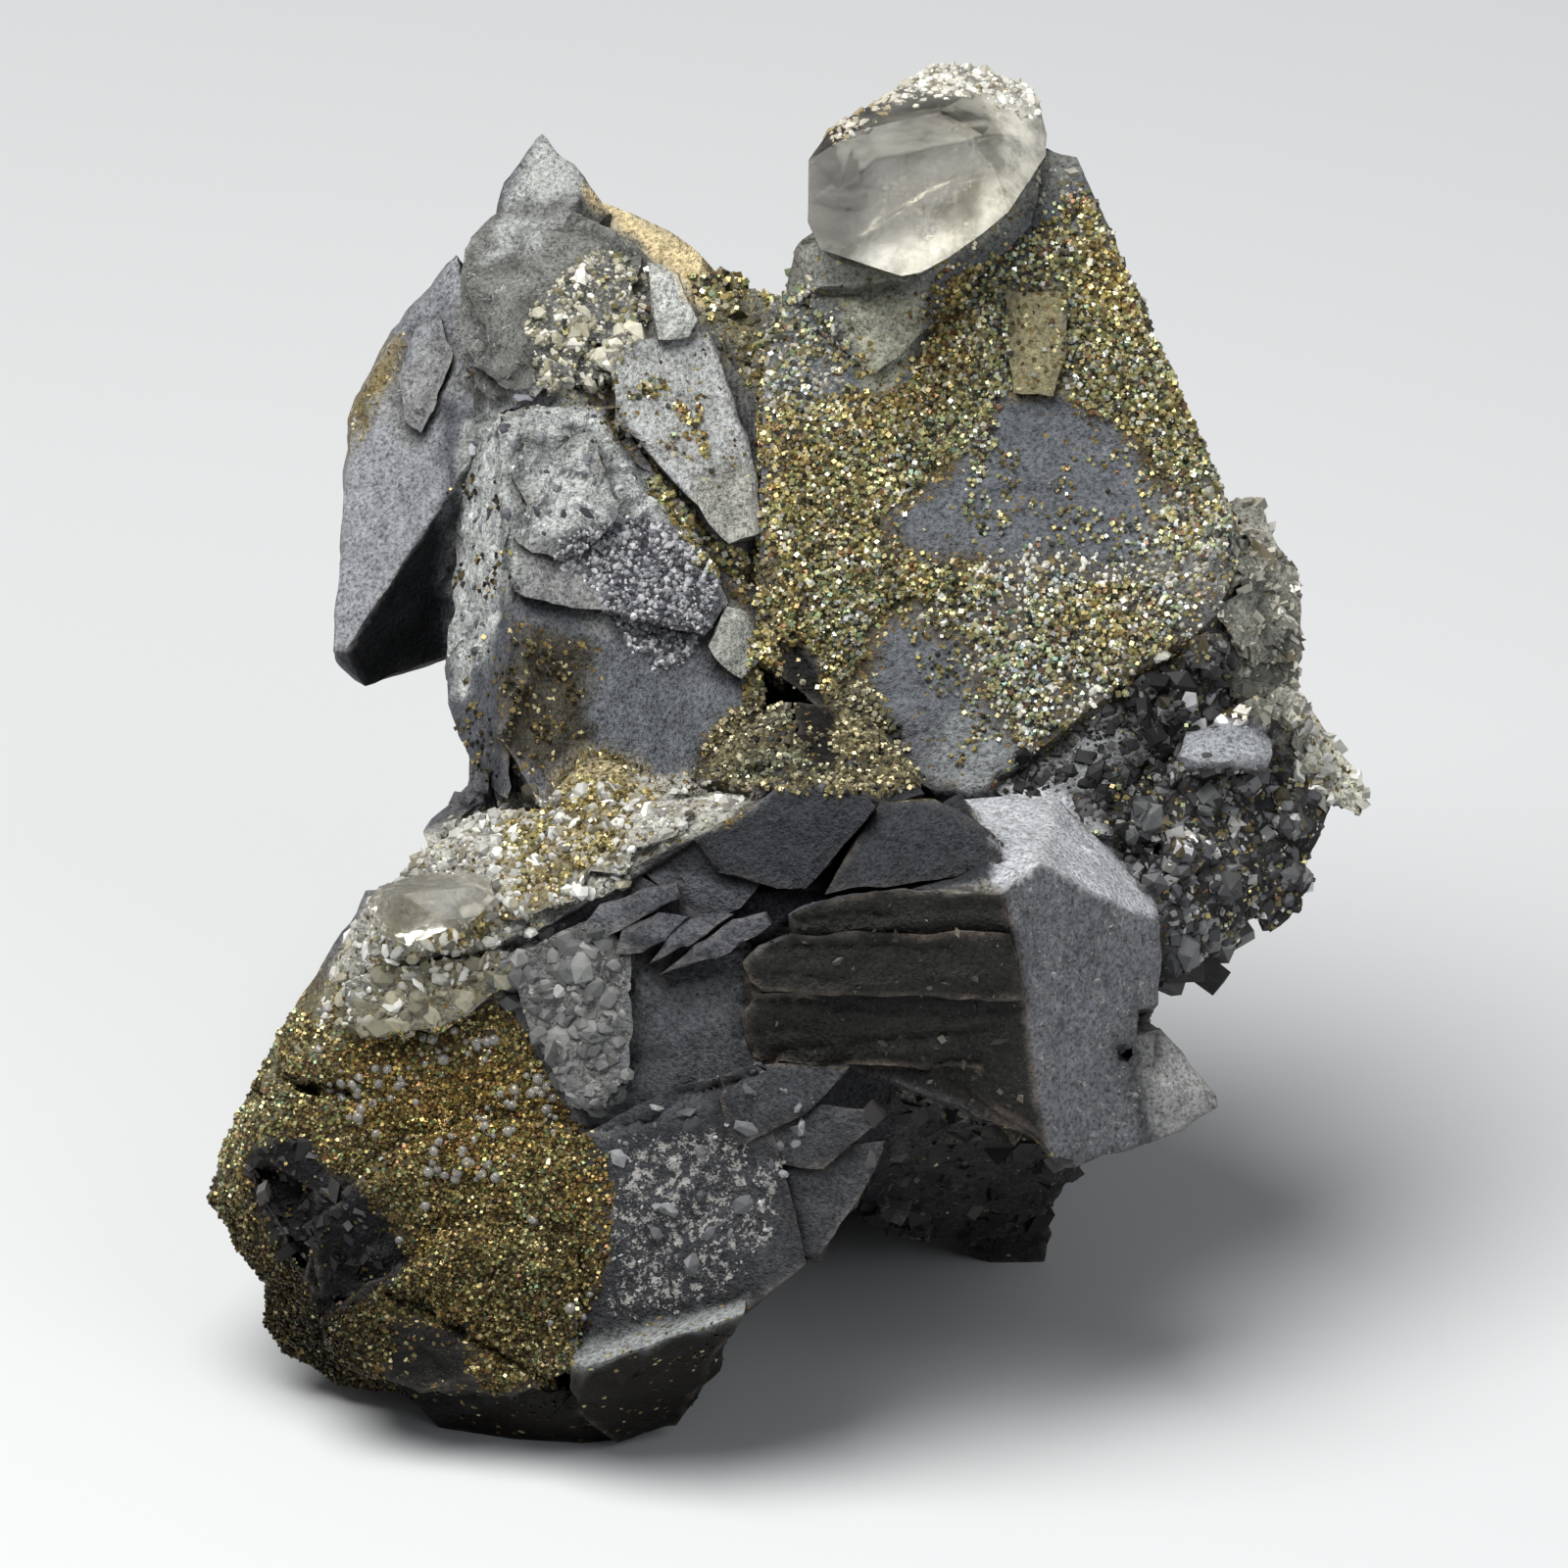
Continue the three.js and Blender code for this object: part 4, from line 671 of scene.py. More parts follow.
def calciteMaterial():
    material, tree = newMaterial("greyCalcite")
    coords = addNode(tree, "TexCoord").outputs["Object"]
    tint = attributeOf(tree, "tint", "Color")
    gold = attributeOf(tree, "gold")
    pale = attributeOf(tree, "pale")
    frost = attributeOf(tree, "frost")
    # grain of the stone: fine and middling mottling
    fine = noiseOf(tree, coords, 4000.0, 2.0, 0.75)
    middling = noiseOf(tree, coords, 1100.0, 2.0, 0.7)
    mottle = sumOf(tree, "MULTIPLY_ADD", fine, 2.8, -0.4, True)
    mottle = sumOf(tree, "MULTIPLY_ADD", mottle, 0.5, sumOf(tree, "MULTIPLY_ADD", fine, 2.8, -0.66))
    mottle = sumOf(tree, "MAXIMUM", mottle, 0.4)
    mottle = sumOf(tree, "MULTIPLY", mottle, sumOf(tree, "MULTIPLY_ADD", middling, 1.1, 0.45))
    stone = mixColours(tree, 1.0, tint, mottle, "MULTIPLY")
    # pale flecks where a broken noise rises over a level that the share of flecks sets
    broken = noiseOf(tree, coords, 1500.0, 3.0, 0.8)
    level = sumOf(tree, "MULTIPLY_ADD", pale, -0.5, 0.76)
    fleck = sumOf(tree, "MULTIPLY", sumOf(tree, "SUBTRACT", broken, level), 14.0, clamp=True)
    fleckColour = mixColours(tree, middling, (*srgb(110, 110, 110), 1), (*srgb(196, 194, 188), 1))
    stone = mixColours(tree, sumOf(tree, "MULTIPLY", fleck, 0.7), stone, fleckColour)
    # worn edges
    patchy = sumOf(tree, "MULTIPLY_ADD", middling, 1.6, -0.2, True)
    worn = sumOf(tree, "MULTIPLY", frost, patchy, clamp=True)
    wornColour = mixColours(tree, 0.45, tint, (*srgb(164, 156, 146), 1))
    stone = mixColours(tree, sumOf(tree, "MULTIPLY", worn, 0.7), stone, wornColour)
    # fine pyrite dust
    grains = addNode(tree, "TexVoronoi", {"Vector": coords, "Scale": 4600.0})
    grainValue = addNode(tree, "SeparateColor", {0: grains.outputs["Color"]})
    dust = sumOf(tree, "LESS_THAN", grainValue.outputs[0], gold)
    goldColour = rampOf(tree, grainValue.outputs[1], goldStops)
    base = mixColours(tree, dust, stone, goldColour)
    metal = sumOf(tree, "MULTIPLY", dust, 0.4)
    gloss = sumOf(tree, "MULTIPLY_ADD", dust, -0.25, 0.6)
    height = sumOf(tree, "MULTIPLY_ADD", fleck, 0.5, sumOf(tree, "MULTIPLY_ADD", middling, 0.8, fine))
    height = sumOf(tree, "MULTIPLY_ADD", dust, grainValue.outputs[2], height)
    bump = addNode(tree, "Bump", {"Strength": 1.0, "Distance": 0.0002, "Height": height})
    shader = addNode(tree, "BsdfPrincipled", {
        "Base Color": base,
        "Metallic": metal,
        "Roughness": gloss,
        "Specular IOR Level": 0.18,
        "Normal": bump.outputs[0],
    })
    addNode(tree, "OutputMaterial", {"Surface": shader.outputs[0]})
    return material


def grainMaterial(name, metallic, roughness, transmission=0.0):
    # small crystals that carry their own colours
    material, tree = newMaterial(name)
    coords = addNode(tree, "TexCoord").outputs["Object"]
    tint = attributeOf(tree, "tint", "Color")
    cloud = noiseOf(tree, coords, 1800.0, 2.0, 0.6)
    base = mixColours(tree, 1.0, tint, sumOf(tree, "MULTIPLY_ADD", cloud, 0.8, 0.6), "MULTIPLY")
    bump = addNode(tree, "Bump", {"Strength": 0.4, "Distance": 0.00003, "Height": cloud})
    shader = addNode(tree, "BsdfPrincipled", {
        "Base Color": base,
        "Metallic": metallic,
        "Roughness": roughness,
        "IOR": 1.5,
        "Specular IOR Level": 0.3,
        "Transmission Weight": transmission,
        "Normal": bump.outputs[0],
    })
    addNode(tree, "OutputMaterial", {"Surface": shader.outputs[0]})
    return material


def clearMaterial():
    # clear calcite with faint veils, a painted brownish shade that darkens it, and white veils that
    # scatter light, partly real frost and partly painted light
    material, tree = newMaterial("clearCalcite")
    coords = addNode(tree, "TexCoord").outputs["Object"]
    murk = attributeOf(tree, "murk")
    milk = attributeOf(tree, "milk")
    ripples = noiseOf(tree, coords, 420.0, 4.0, 0.6)
    clouds = noiseOf(tree, coords, 150.0, 5.0, 0.62)
    wisps = noiseOf(tree, coords, 900.0, 4.0, 0.7)
    squeezed = addNode(tree, "Mapping", {
        "Vector": coords,
        "Scale": (0.5, 0.5, 1.8),
        "Rotation": (0.2, 0.5, 0.1),
    })
    streaks = noiseOf(tree, squeezed.outputs[0], 520.0, 4.0, 0.65)
    veil = sumOf(tree, "MULTIPLY_ADD", wisps, 0.4, clouds)
    base = rampOf(tree, veil, [
        (0.5, tuple(srgb(196, 191, 172))),
        (0.66, tuple(srgb(224, 222, 210))),
        (0.84, tuple(srgb(246, 245, 240))),
    ])
    # painted brownish shade, in streaks
    brownShadeShare = sumOf(tree, "MULTIPLY", murk, sumOf(tree, "MULTIPLY_ADD", streaks, 2.0, -0.35), clamp=True)
    base = mixColours(tree, brownShadeShare, base, (*srgb(66, 60, 46), 1))
    # white veils, partly real frost and partly painted light, which let less light through
    milkAndLightShare = sumOf(tree, "MULTIPLY", milk, sumOf(tree, "MULTIPLY_ADD", wisps, 2.4, -0.5), clamp=True)
    base = mixColours(tree, milkAndLightShare, base, (*srgb(226, 223, 208), 1))
    gloss = sumOf(tree, "MULTIPLY_ADD", veil, 0.3, -0.1, True)
    bump = addNode(tree, "Bump", {"Strength": 0.5, "Distance": 0.0001, "Height": ripples})
    shader = addNode(tree, "BsdfPrincipled", {
        "Base Color": base,
        "Roughness": gloss,
        "IOR": 1.55,
        "Specular Tint": (0.3, 0.3, 0.3, 1),
        "Transmission Weight": sumOf(tree, "MULTIPLY_ADD", milkAndLightShare, -0.6, 0.86),
        "Normal": bump.outputs[0],
    })
    absorb = addNode(tree, "VolumeAbsorption", {"Color": (0.9, 0.892, 0.86, 1), "Density": 320.0})
    addNode(tree, "OutputMaterial", {"Surface": shader.outputs[0], "Volume": absorb.outputs[0]})
    return material


def floorMaterial():
    material, tree = newMaterial("paleFloor")
    coords = addNode(tree, "TexCoord").outputs["Object"]
    cloud = noiseOf(tree, coords, 3.0, 2.0, 0.5)
    base = rampOf(tree, cloud, [(0.0, (0.56, 0.57, 0.58)), (1.0, (0.6, 0.61, 0.62))])
    shader = addNode(tree, "BsdfPrincipled", {
        "Base Color": base,
        "Roughness": 0.6,
        "Specular IOR Level": 0.2,
    })
    addNode(tree, "OutputMaterial", {"Surface": shader.outputs[0]})
    return material


calciteForm = {
    "lumpy": 0.68,  # mm, longest edge of the mesh where the front is lumpy
    "fine": 0.3,  # at the ends of the ridged plates
    "crease": 0.5,  # along its steps and cracks
    "middling": 0.75,  # along borders between finishes
    "front": 0.9,  # on its plain faces
    "back": 1.9,  # behind
    "striae": 0.62,  # where its faces have a grain
    "backDepth": -18,  # mm, what lies farther back than this isn't refined as front
    "edge": 24,  # degrees, what is sharper than this counts as an edge or a groove
    "edgeStep": 0.25,  # mm, how finely its edges are measured
    "bare": (82, 83, 88),  # colour of the plain stone
    "matrix": (52, 50, 49),  # colour low down on the hidden sides
    "crusty": (138, 135, 126),  # colour of their pale crusts
    "dusty": (82, 72, 46),  # colour of their drifts of pyrite
    "underCrust": (64, 58, 45),  # the ground between the pyrite grains
    "rim": (96, 85, 77),  # the brown ends of the ridged plates
    "rimWidth": 0.28,  # mm
    "worn": 0.22,  # mm, width of the worn edges
    "groove": 0.7,  # mm, width of the painted shade in the grooves
    "sharp": 28,  # degrees, edges sharper than this stay sharp
}

# Each row paints one place seen from the front, in this order: outline, colour, share of pyrite dust,
# share of pale flecks, height of its lumps in mm, their size in mm, and how ragged its edge is in mm
calciteRows = [
    ("rightMatrix", (46, 45, 44), 0.08, 0.22, 0.4, 1.0, 0.8),
    # painted shade deep in the middle of the cluster
    ("matrixInner", (13, 13, 13), 0.01, 0.1, 0.35, 1.0, 0.8),
    ("lowerMatrix", (59, 58, 58), 0.01, 0.03, 0.35, 1.1, 0.8),
    ("backRidge", (104, 101, 84), 0.25, 0.2, 0.35, 1.1, 0.8),
    ("amber", (186, 170, 132), 0.0, 0.1, 0.12, 1.2, 0.3),
    # painted light on the left crystal's upward face
    ("leftLight", (116, 118, 122), 0.0, 0.2, 0.1, 1.2, 0.2),
    ("leftOverlay", (118, 119, 119), 0.0, 0.35, 0.3, 0.9, 0.7),
    ("leftGold", (104, 94, 68), 0.3, 0.35, 0.25, 0.9, 0.8),
    # painted shade on the left crystal's downward face
    ("leftDark", (19, 21, 23), 0.0, 0.02, 0.1, 1.2, 0.05),
    ("spireSide", (67, 69, 74), 0.0, 0.14, 0.16, 1.2, 0.5),
    ("spireLow", (82, 85, 89), 0.0, 0.1, 0.06, 0.7, 1.0),
    ("spireShoulder", (94, 95, 92), 0.0, 0.4, 0.55, 1.6, 0.6),
    ("spirePale", (150, 153, 151), 0.0, 0.4, 0.36, 1.1, 0.7),
    ("spireTip", (138, 140, 138), 0.0, 0.25, 0.16, 1.0, 0.3),
    ("spireGrains", (58, 59, 63), 0.0, 0.3, 0.14, 0.8, 0.5),
    ("spireLap", (117, 118, 117), 0.0, 0.25, 0.24, 0.9, 0.5),
    ("spireFoot", (47, 46, 41), 0.12, 0.15, 0.24, 1.0, 0.7),
    ("sliver", (150, 152, 151), 0.04, 0.2, 0.08, 1.0, 0.2),
    ("sliverFoot", (134, 134, 128), 0.0, 0.35, 0.2, 0.9, 0.7),
    ("spireWindow", (164, 166, 162), 0.0, 0.3, 0.2, 1.1, 0.1),
    ("pebble", (132, 134, 128), 0.0, 0.3, 0.25, 1.2, 0.1),
    ("tallFace", (79, 82, 86), 0.02, 0.1, 0.06, 0.9, 0.2),
    ("tallSide", (66, 66, 68), 0.05, 0.3, 0.1, 0.9, 0.4),
    ("tallGreyLeft", (92, 95, 95), 0.06, 0.3, 0.2, 0.8, 0.9),
    ("tallPaleRight", (92, 93, 90), 0.25, 0.4, 0.16, 0.8, 0.9),
    ("tallFoot", (130, 131, 124), 0.0, 0.3, 0.2, 0.9, 0.5),
    ("tallTab", (118, 112, 86), 0.1, 0.25, 0.14, 0.9, 0.3),
    ("valley", (58, 54, 43), 0.35, 0.1, 0.3, 1.0, 0.5),
    ("band", (156, 155, 147), 0.1, 0.35, 0.3, 1.0, 0.4),
    ("bandGold", (132, 122, 96), 0.4, 0.15, 0.2, 0.9, 0.9),
    ("frontGold", (60, 53, 35), 0.45, 0.02, 0.14, 0.9, 0.5),
    ("frontDark", (48, 49, 52), 0.0, 0.12, 0.09, 0.9, 0.6),
    ("frontMiddle", (58, 60, 63), 0.0, 0.12, 0.08, 0.9, 0.3),
    # painted shade in the crevice
    ("crevice", (12, 11, 10), 0.04, 0.02, 0.3, 0.9, 0.5),
    ("tallHighGrey", (108, 110, 106), 0.03, 0.35, 0.2, 0.9, 0.5),
    ("frontDusting", (45, 46, 49), 0.0, 0.5, 0.12, 0.9, 0.8),
    # painted shade in the front crystal's hollow and on its low grey foot
    ("frontHollow", (13, 14, 17), 0.0, 0.06, 0.45, 1.2, 0.3),
    ("frontLowGrey", (24, 23, 21), 0.06, 0.06, 0.34, 1.2, 0.5),
    ("frontVeil", (84, 85, 83), 0.0, 0.4, 0.5, 1.5, 1.3),
    ("frontClearRim", (108, 105, 90), 0.12, 0.35, 0.5, 1.4, 1.1),
    # painted shade on the dark brown block under the ledge
    ("lowerBlock", (24, 17, 4), 0.03, 0.03, 0.2, 0.9, 0.2),
    ("ledge", (146, 150, 150), 0.04, 0.2, 0.12, 0.9, 0.3),
    # painted shade on the terraces, which face away from the light
    ("terraces", (40, 42, 46), 0.0, 0.1, 0.08, 0.8, 0.05),
    ("shards", (67, 68, 73), 0.0, 0.15, 0.1, 0.8, 0.1),
    # painted shade on the ridged crystal's left face
    ("ridgedDark", (31, 31, 29), 0.0, 0.14, 0.07, 0.8, 0.02),
    ("ridgedGrey", (94, 95, 99), 0.0, 0.38, 0.09, 0.8, 0.02),
    # painted light on the ridged crystal's top face
    ("ridgedTop", (154, 156, 160), 0.0, 0.3, 0.09, 0.8, 0.02),
    ("tooth", (128, 128, 127), 0.0, 0.25, 0.1, 0.8, 0.1),
    ("rightWall", (128, 128, 119), 0.0, 0.35, 0.3, 1.2, 0.4),
    ("rightSpur", (178, 176, 160), 0.15, 0.3, 0.25, 1.0, 0.4),
    ("shelf", (126, 129, 133), 0.0, 0.2, 0.08, 1.0, 0.05),
    ("tallPoint", (102, 105, 106), 0.02, 0.2, 0.1, 0.9, 0.5),
    ("tallCone", (150, 150, 134), 0.0, 0.35, 0.25, 0.9, 0.5),
    # painted light, to lift the shade under the tall crystal's point
    ("tallUnder", (106, 108, 109), 0.02, 0.25, 0.35, 0.9, 0.6),
    ("frontPaleEdge", (96, 92, 74), 0.35, 0.3, 0.2, 0.9, 0.8),
]


def paintedShade(points, normals):
    # painted shade: 1, and less on faces that look down, at the front crystal's foot and in its lower
    # left corner
    down = smooth(0.05, -0.6, normals @ seenAxes[:, 2])
    foot = smooth(-21, -31, points[:, 1]) * smooth(3, -4, points[:, 0])
    corner = smooth(-21, -28, points[:, 1]) * smooth(-19, -26, points[:, 0])
    return ((1 - 0.5 * down) * (1 - 0.4 * foot) * (1 - 0.8 * corner))[:, None]


def paintCalcite(points, normals):
    # colour, pyrite dust, pale flecks and lumps for each point of the calcite
    count = len(points)
    tint = np.tile(srgb(*calciteForm["bare"]), (count, 1))
    gold = np.full(count, 0.0)
    pale = np.full(count, 0.08)
    lumps = np.full(count, 0.1)
    wide = np.full(count, 1.2)
    # the sides and the back: dark matrix low down, druse and crust in drifts
    height = toModel(points)[:, 2] * 1000
    low = smooth(20, 12, height + 4 * rough(points, 9, 71))
    drift = smooth(0.1, 0.5, rough(points, 11, 72))
    crusty = smooth(0.25, 0.55, rough(points, 9, 73))
    for share, name in ((low, "matrix"), (crusty, "crusty"), (drift * (1 - crusty), "dusty")):
        tint += share[:, None] * (srgb(*calciteForm[name]) - tint)
    gold = 0.55 * drift * (1 - crusty)
    pale += 0.25 * crusty
    lumps += 0.12 * low + 0.2 * crusty
    facing = smooth(-0.12, 0.1, normals[:, 2])
    for name, colour, dust, flecks, tall, size, ragged in calciteRows:
        share = patch(points, name, 0.15 + 0.5 * ragged, ragged, 1.5, len(name)) * facing
        tint += share[:, None] * (srgb(*colour) - tint)
        gold += share * (dust - gold)
        pale += share * (flecks - pale)
        lumps += share * (tall - lumps)
        wide += share * (size - wide)
    uneven = np.exp(0.12 * rough(points, 5, 81) + 0.14 * rough(points, 1.6, 82))[:, None]
    # the tint gets painted shade on faces that look down, at the front crystal's foot and in its lower
    # left corner
    tint *= uneven * paintedShade(points, normals)
    return tint, gold, pale, lumps, wide


# Steps and cracks on the faces: line in the view, height in mm, and over how many mm it fades above and
# below the line, where the line runs to the right
creases = [
    ([(-25.8, -24.4), (-22.6, -22.2), (-19.6, -20.0), (-17.2, -19.0)], 0.9, 0.25, 2.6),
    ([(-24.4, -30.0), (-21.6, -27.6), (-18.6, -25.4), (-16, -24.6)], 0.99, 0.25, 2.4),
    ([(-27.2, -13.9), (-24.6, -15.2), (-22.4, -15.4)], 0.54, 0.3, 1.4),
    ([(-27.8, -15.9), (-26, -16.8), (-24.2, -17.1)], -1.44, 0.45, 0.45),
    ([(-29.6, -16.6), (-28.6, -17.2)], -1.08, 0.4, 0.4),
    ([(-21.4, -28.0), (-18, -30.0), (-15.6, -31.2), (-12, -33.6)], -0.81, 0.4, 0.5),
    ([(-17, -28.0), (-14.4, -26.6), (-12.6, -26.4)], 0.45, 0.2, 1.2),
    ([(-10.4, -18.9), (-7.4, -18.4), (-5.7, -17.1), (-1.6, -15.9), (-0.2, -14.8)], -0.6, 0.35, 0.25),
    ([(-8.6, -19.0), (-5.4, -17.9), (-1.6, -16.5)], 0.35, 0.2, 1.4),
    ([(-6.4, -25.0), (-4.6, -23.6), (-3.2, -22.4)], -0.3, 0.25, 0.25),
    ([(-7.6, -23.6), (-5.2, -21.8)], 0.25, 0.2, 1.0),
    ([(-8.8, -8.2), (-6.4, -8.6), (-3, -9.8)], 0.25, 1.4, 0.2),
    ([(-8.6, -11.6), (-4.4, -10.6), (-1, -9.2)], 0.2, 0.2, 1.4),
    ([(-8.4, -14.6), (-4.4, -13.2), (-1.2, -12.4)], 0.16, 0.2, 1.2),
    ([(10.6, 14.9), (11.9, 16.0), (13.0, 16.3), (14.4, 15.9)], -0.3, 0.2, 0.25),
    ([(11.6, 21.4), (15.2, 21.2), (17.6, 20.2), (19.6, 18.4)], 0.3, 1.2, 0.15),
    ([(-17.7, 23.6), (-17.4, 20.4), (-15.8, 20.2), (-13.2, 20.8)], -0.5, 0.5, 0.5),
    ([(-14.4, 24.6), (-12.2, 24.0), (-10.6, 22.6)], -0.5, 0.6, 0.3),
    ([(-15.2, 22.0), (-12.8, 21.4)], 0.5, 0.9, 0.5),
    ([(-9.2, 20.6), (-7.5, 17.1), (-5.3, 14.1), (-3.3, 12.4), (-1.6, 11.2)], -0.9, 0.5, 0.8),
    ([(-14.8, 19.4), (-11.8, 19.0), (-9.2, 18.6)], 0.35, 0.3, 1.0),
    ([(-12, 17.4), (-10.2, 16.8), (-8.4, 17.0)], -0.35, 0.3, 0.3),
    ([(-12.2, 16.2), (-10.2, 15.6), (-8.4, 15.8)], 0.3, 0.3, 0.5),
    ([(-11.6, 14.6), (-9.6, 14.2), (-6.6, 15.2)], 0.35, 0.9, 0.2),
    ([(-15.4, 14.6), (-15.0, 11.8), (-14.6, 10.6)], -0.45, 0.4, 0.4),
    ([(-15.8, 1.6), (-14.6, 5.4), (-14.2, 8.6)], 0.3, 0.4, 1.0),
    ([(-18.2, -9.4), (-15.6, -9.2), (-14.2, -8.0)], -0.3, 0.3, 0.3),
    ([(14.2, -8.0), (14.2, -12.8), (14.8, -18.8)], 0.12, 0.5, 0.5),
    ([(11.0, -5.1), (11.7, -3.7), (9.6, -0.9)], 0.5, 2.6, 0.2),
    ([(12.6, -7.4), (8.2, -7.2), (2.8, -8.0)], 0.28, 1.2, 0.15),
    ([(12.8, -10.2), (7.4, -10.4), (1.6, -11.0)], 0.22, 0.9, 0.15),
    ([(13.2, -12.4), (9.0, -12.6), (3.0, -12.2)], -0.25, 0.3, 0.2),
    ([(4.6, -8.9), (8.8, -9.0)], -0.25, 0.25, 0.2),
    ([(9.6, -11.4), (12.0, -11.3)], -0.3, 0.3, 0.2),
    ([(5.4, -14.8), (9.4, -14.6)], 0.3, 0.8, 0.15),
    ([(0.4, -7.5), (2.6, -7.1), (5.4, -7.2)], -0.35, 0.2, 0.15),
    ([(-2.4, -8.9), (0.6, -8.8), (3.6, -9.0)], -0.4, 0.2, 0.15),
    ([(-2.6, -10.6), (0.4, -10.5), (3.2, -10.8)], -0.35, 0.2, 0.15),
    ([(-2.2, -12.0), (1.2, -11.8), (4.6, -12.2)], -0.4, 0.2, 0.15),
    ([(-2.4, -13.6), (0.2, -13.4), (3.0, -13.7)], -0.35, 0.2, 0.15),
    ([(-1.6, -14.6), (2.2, -14.4)], -0.35, 0.2, 0.15),
    ([(3.6, -14.4), (8.6, -13.8), (11.4, -13.4)], -0.4, 0.35, 0.25),
    ([(6.6, -15.6), (10.6, -15.2)], -0.35, 0.3, 0.25),
    ([(15.4, -9.4), (16.0, -10.2), (16.6, -10.0)], -0.3, 0.2, 0.2),
    ([(15.0, -11.2), (16.6, -12.4)], -0.25, 0.2, 0.2),
    ([(18.6, -14.6), (19.8, -14.8)], -0.6, 0.35, 0.35),
]


# Growth striae: outline, how fine they are to the right, up and near, and their height in mm
striaeRows = [
    ("ridgedDark", (0.35, 2.0, 0.6), 0.09),
    ("ridgedGrey", (1.4, 0.5, 0.6), 0.05),
    ("leftLight", (0.9, 0.35, 0.5), 0.09),
    ("spirePale", (1.2, 0.5, 0.6), 0.22),
    ("spireSide", (1.5, 0.35, 0.6), 0.14),
    ("spireShoulder", (1.0, 0.6, 0.6), 0.16),
    ("frontDark", (0.5, 1.1, 0.6), 0.06),
    ("sliver", (1.3, 0.4, 0.6), 0.07),
    ("terraces", (0.6, 1.6, 0.8), 0.05),
]


def edgeLength(middles, normals):
    # how long an edge of the calcite's mesh may be, in mm: short at relief and borders, long behind
    longest = np.full(len(middles), calciteForm["back"])
    front = (normals[:, 2] > -0.1) & (middles[:, 2] > calciteForm["backDepth"])
    longest[front] = calciteForm["front"]
    for name, colour, dust, flecks, tall, size, ragged in calciteRows:
        deep = insideBy(name, middles, 1.5)
        if tall > 0.18:
            longest[front & (deep > -0.4)] = calciteForm["lumpy"]
        elif tall > 0.08:
            rows = front & (deep > -0.4)
            longest[rows] = np.minimum(longest[rows], calciteForm["middling"])
        border = front & (np.abs(deep) < 0.5)
        longest[border] = np.minimum(longest[border], calciteForm["middling"])
    longest[front & (insideBy("ridgedEnds", middles, 1.5) > 0)] = calciteForm["fine"]
    for name, stretch, height in striaeRows:
        rows = front & (insideBy(name, middles, 1.5) > -0.2)
        longest[rows] = np.minimum(longest[rows], calciteForm["striae"])
    for line, height, above, below in creases:
        rows = np.nonzero(closeTo(middles, np.array(line), 1) & front)[0]
        on = creaseAt(middles[rows], line, 1.0, above + 0.2, below + 0.2) > 0.3
        longest[rows[on]] = calciteForm["crease"]
    return longest


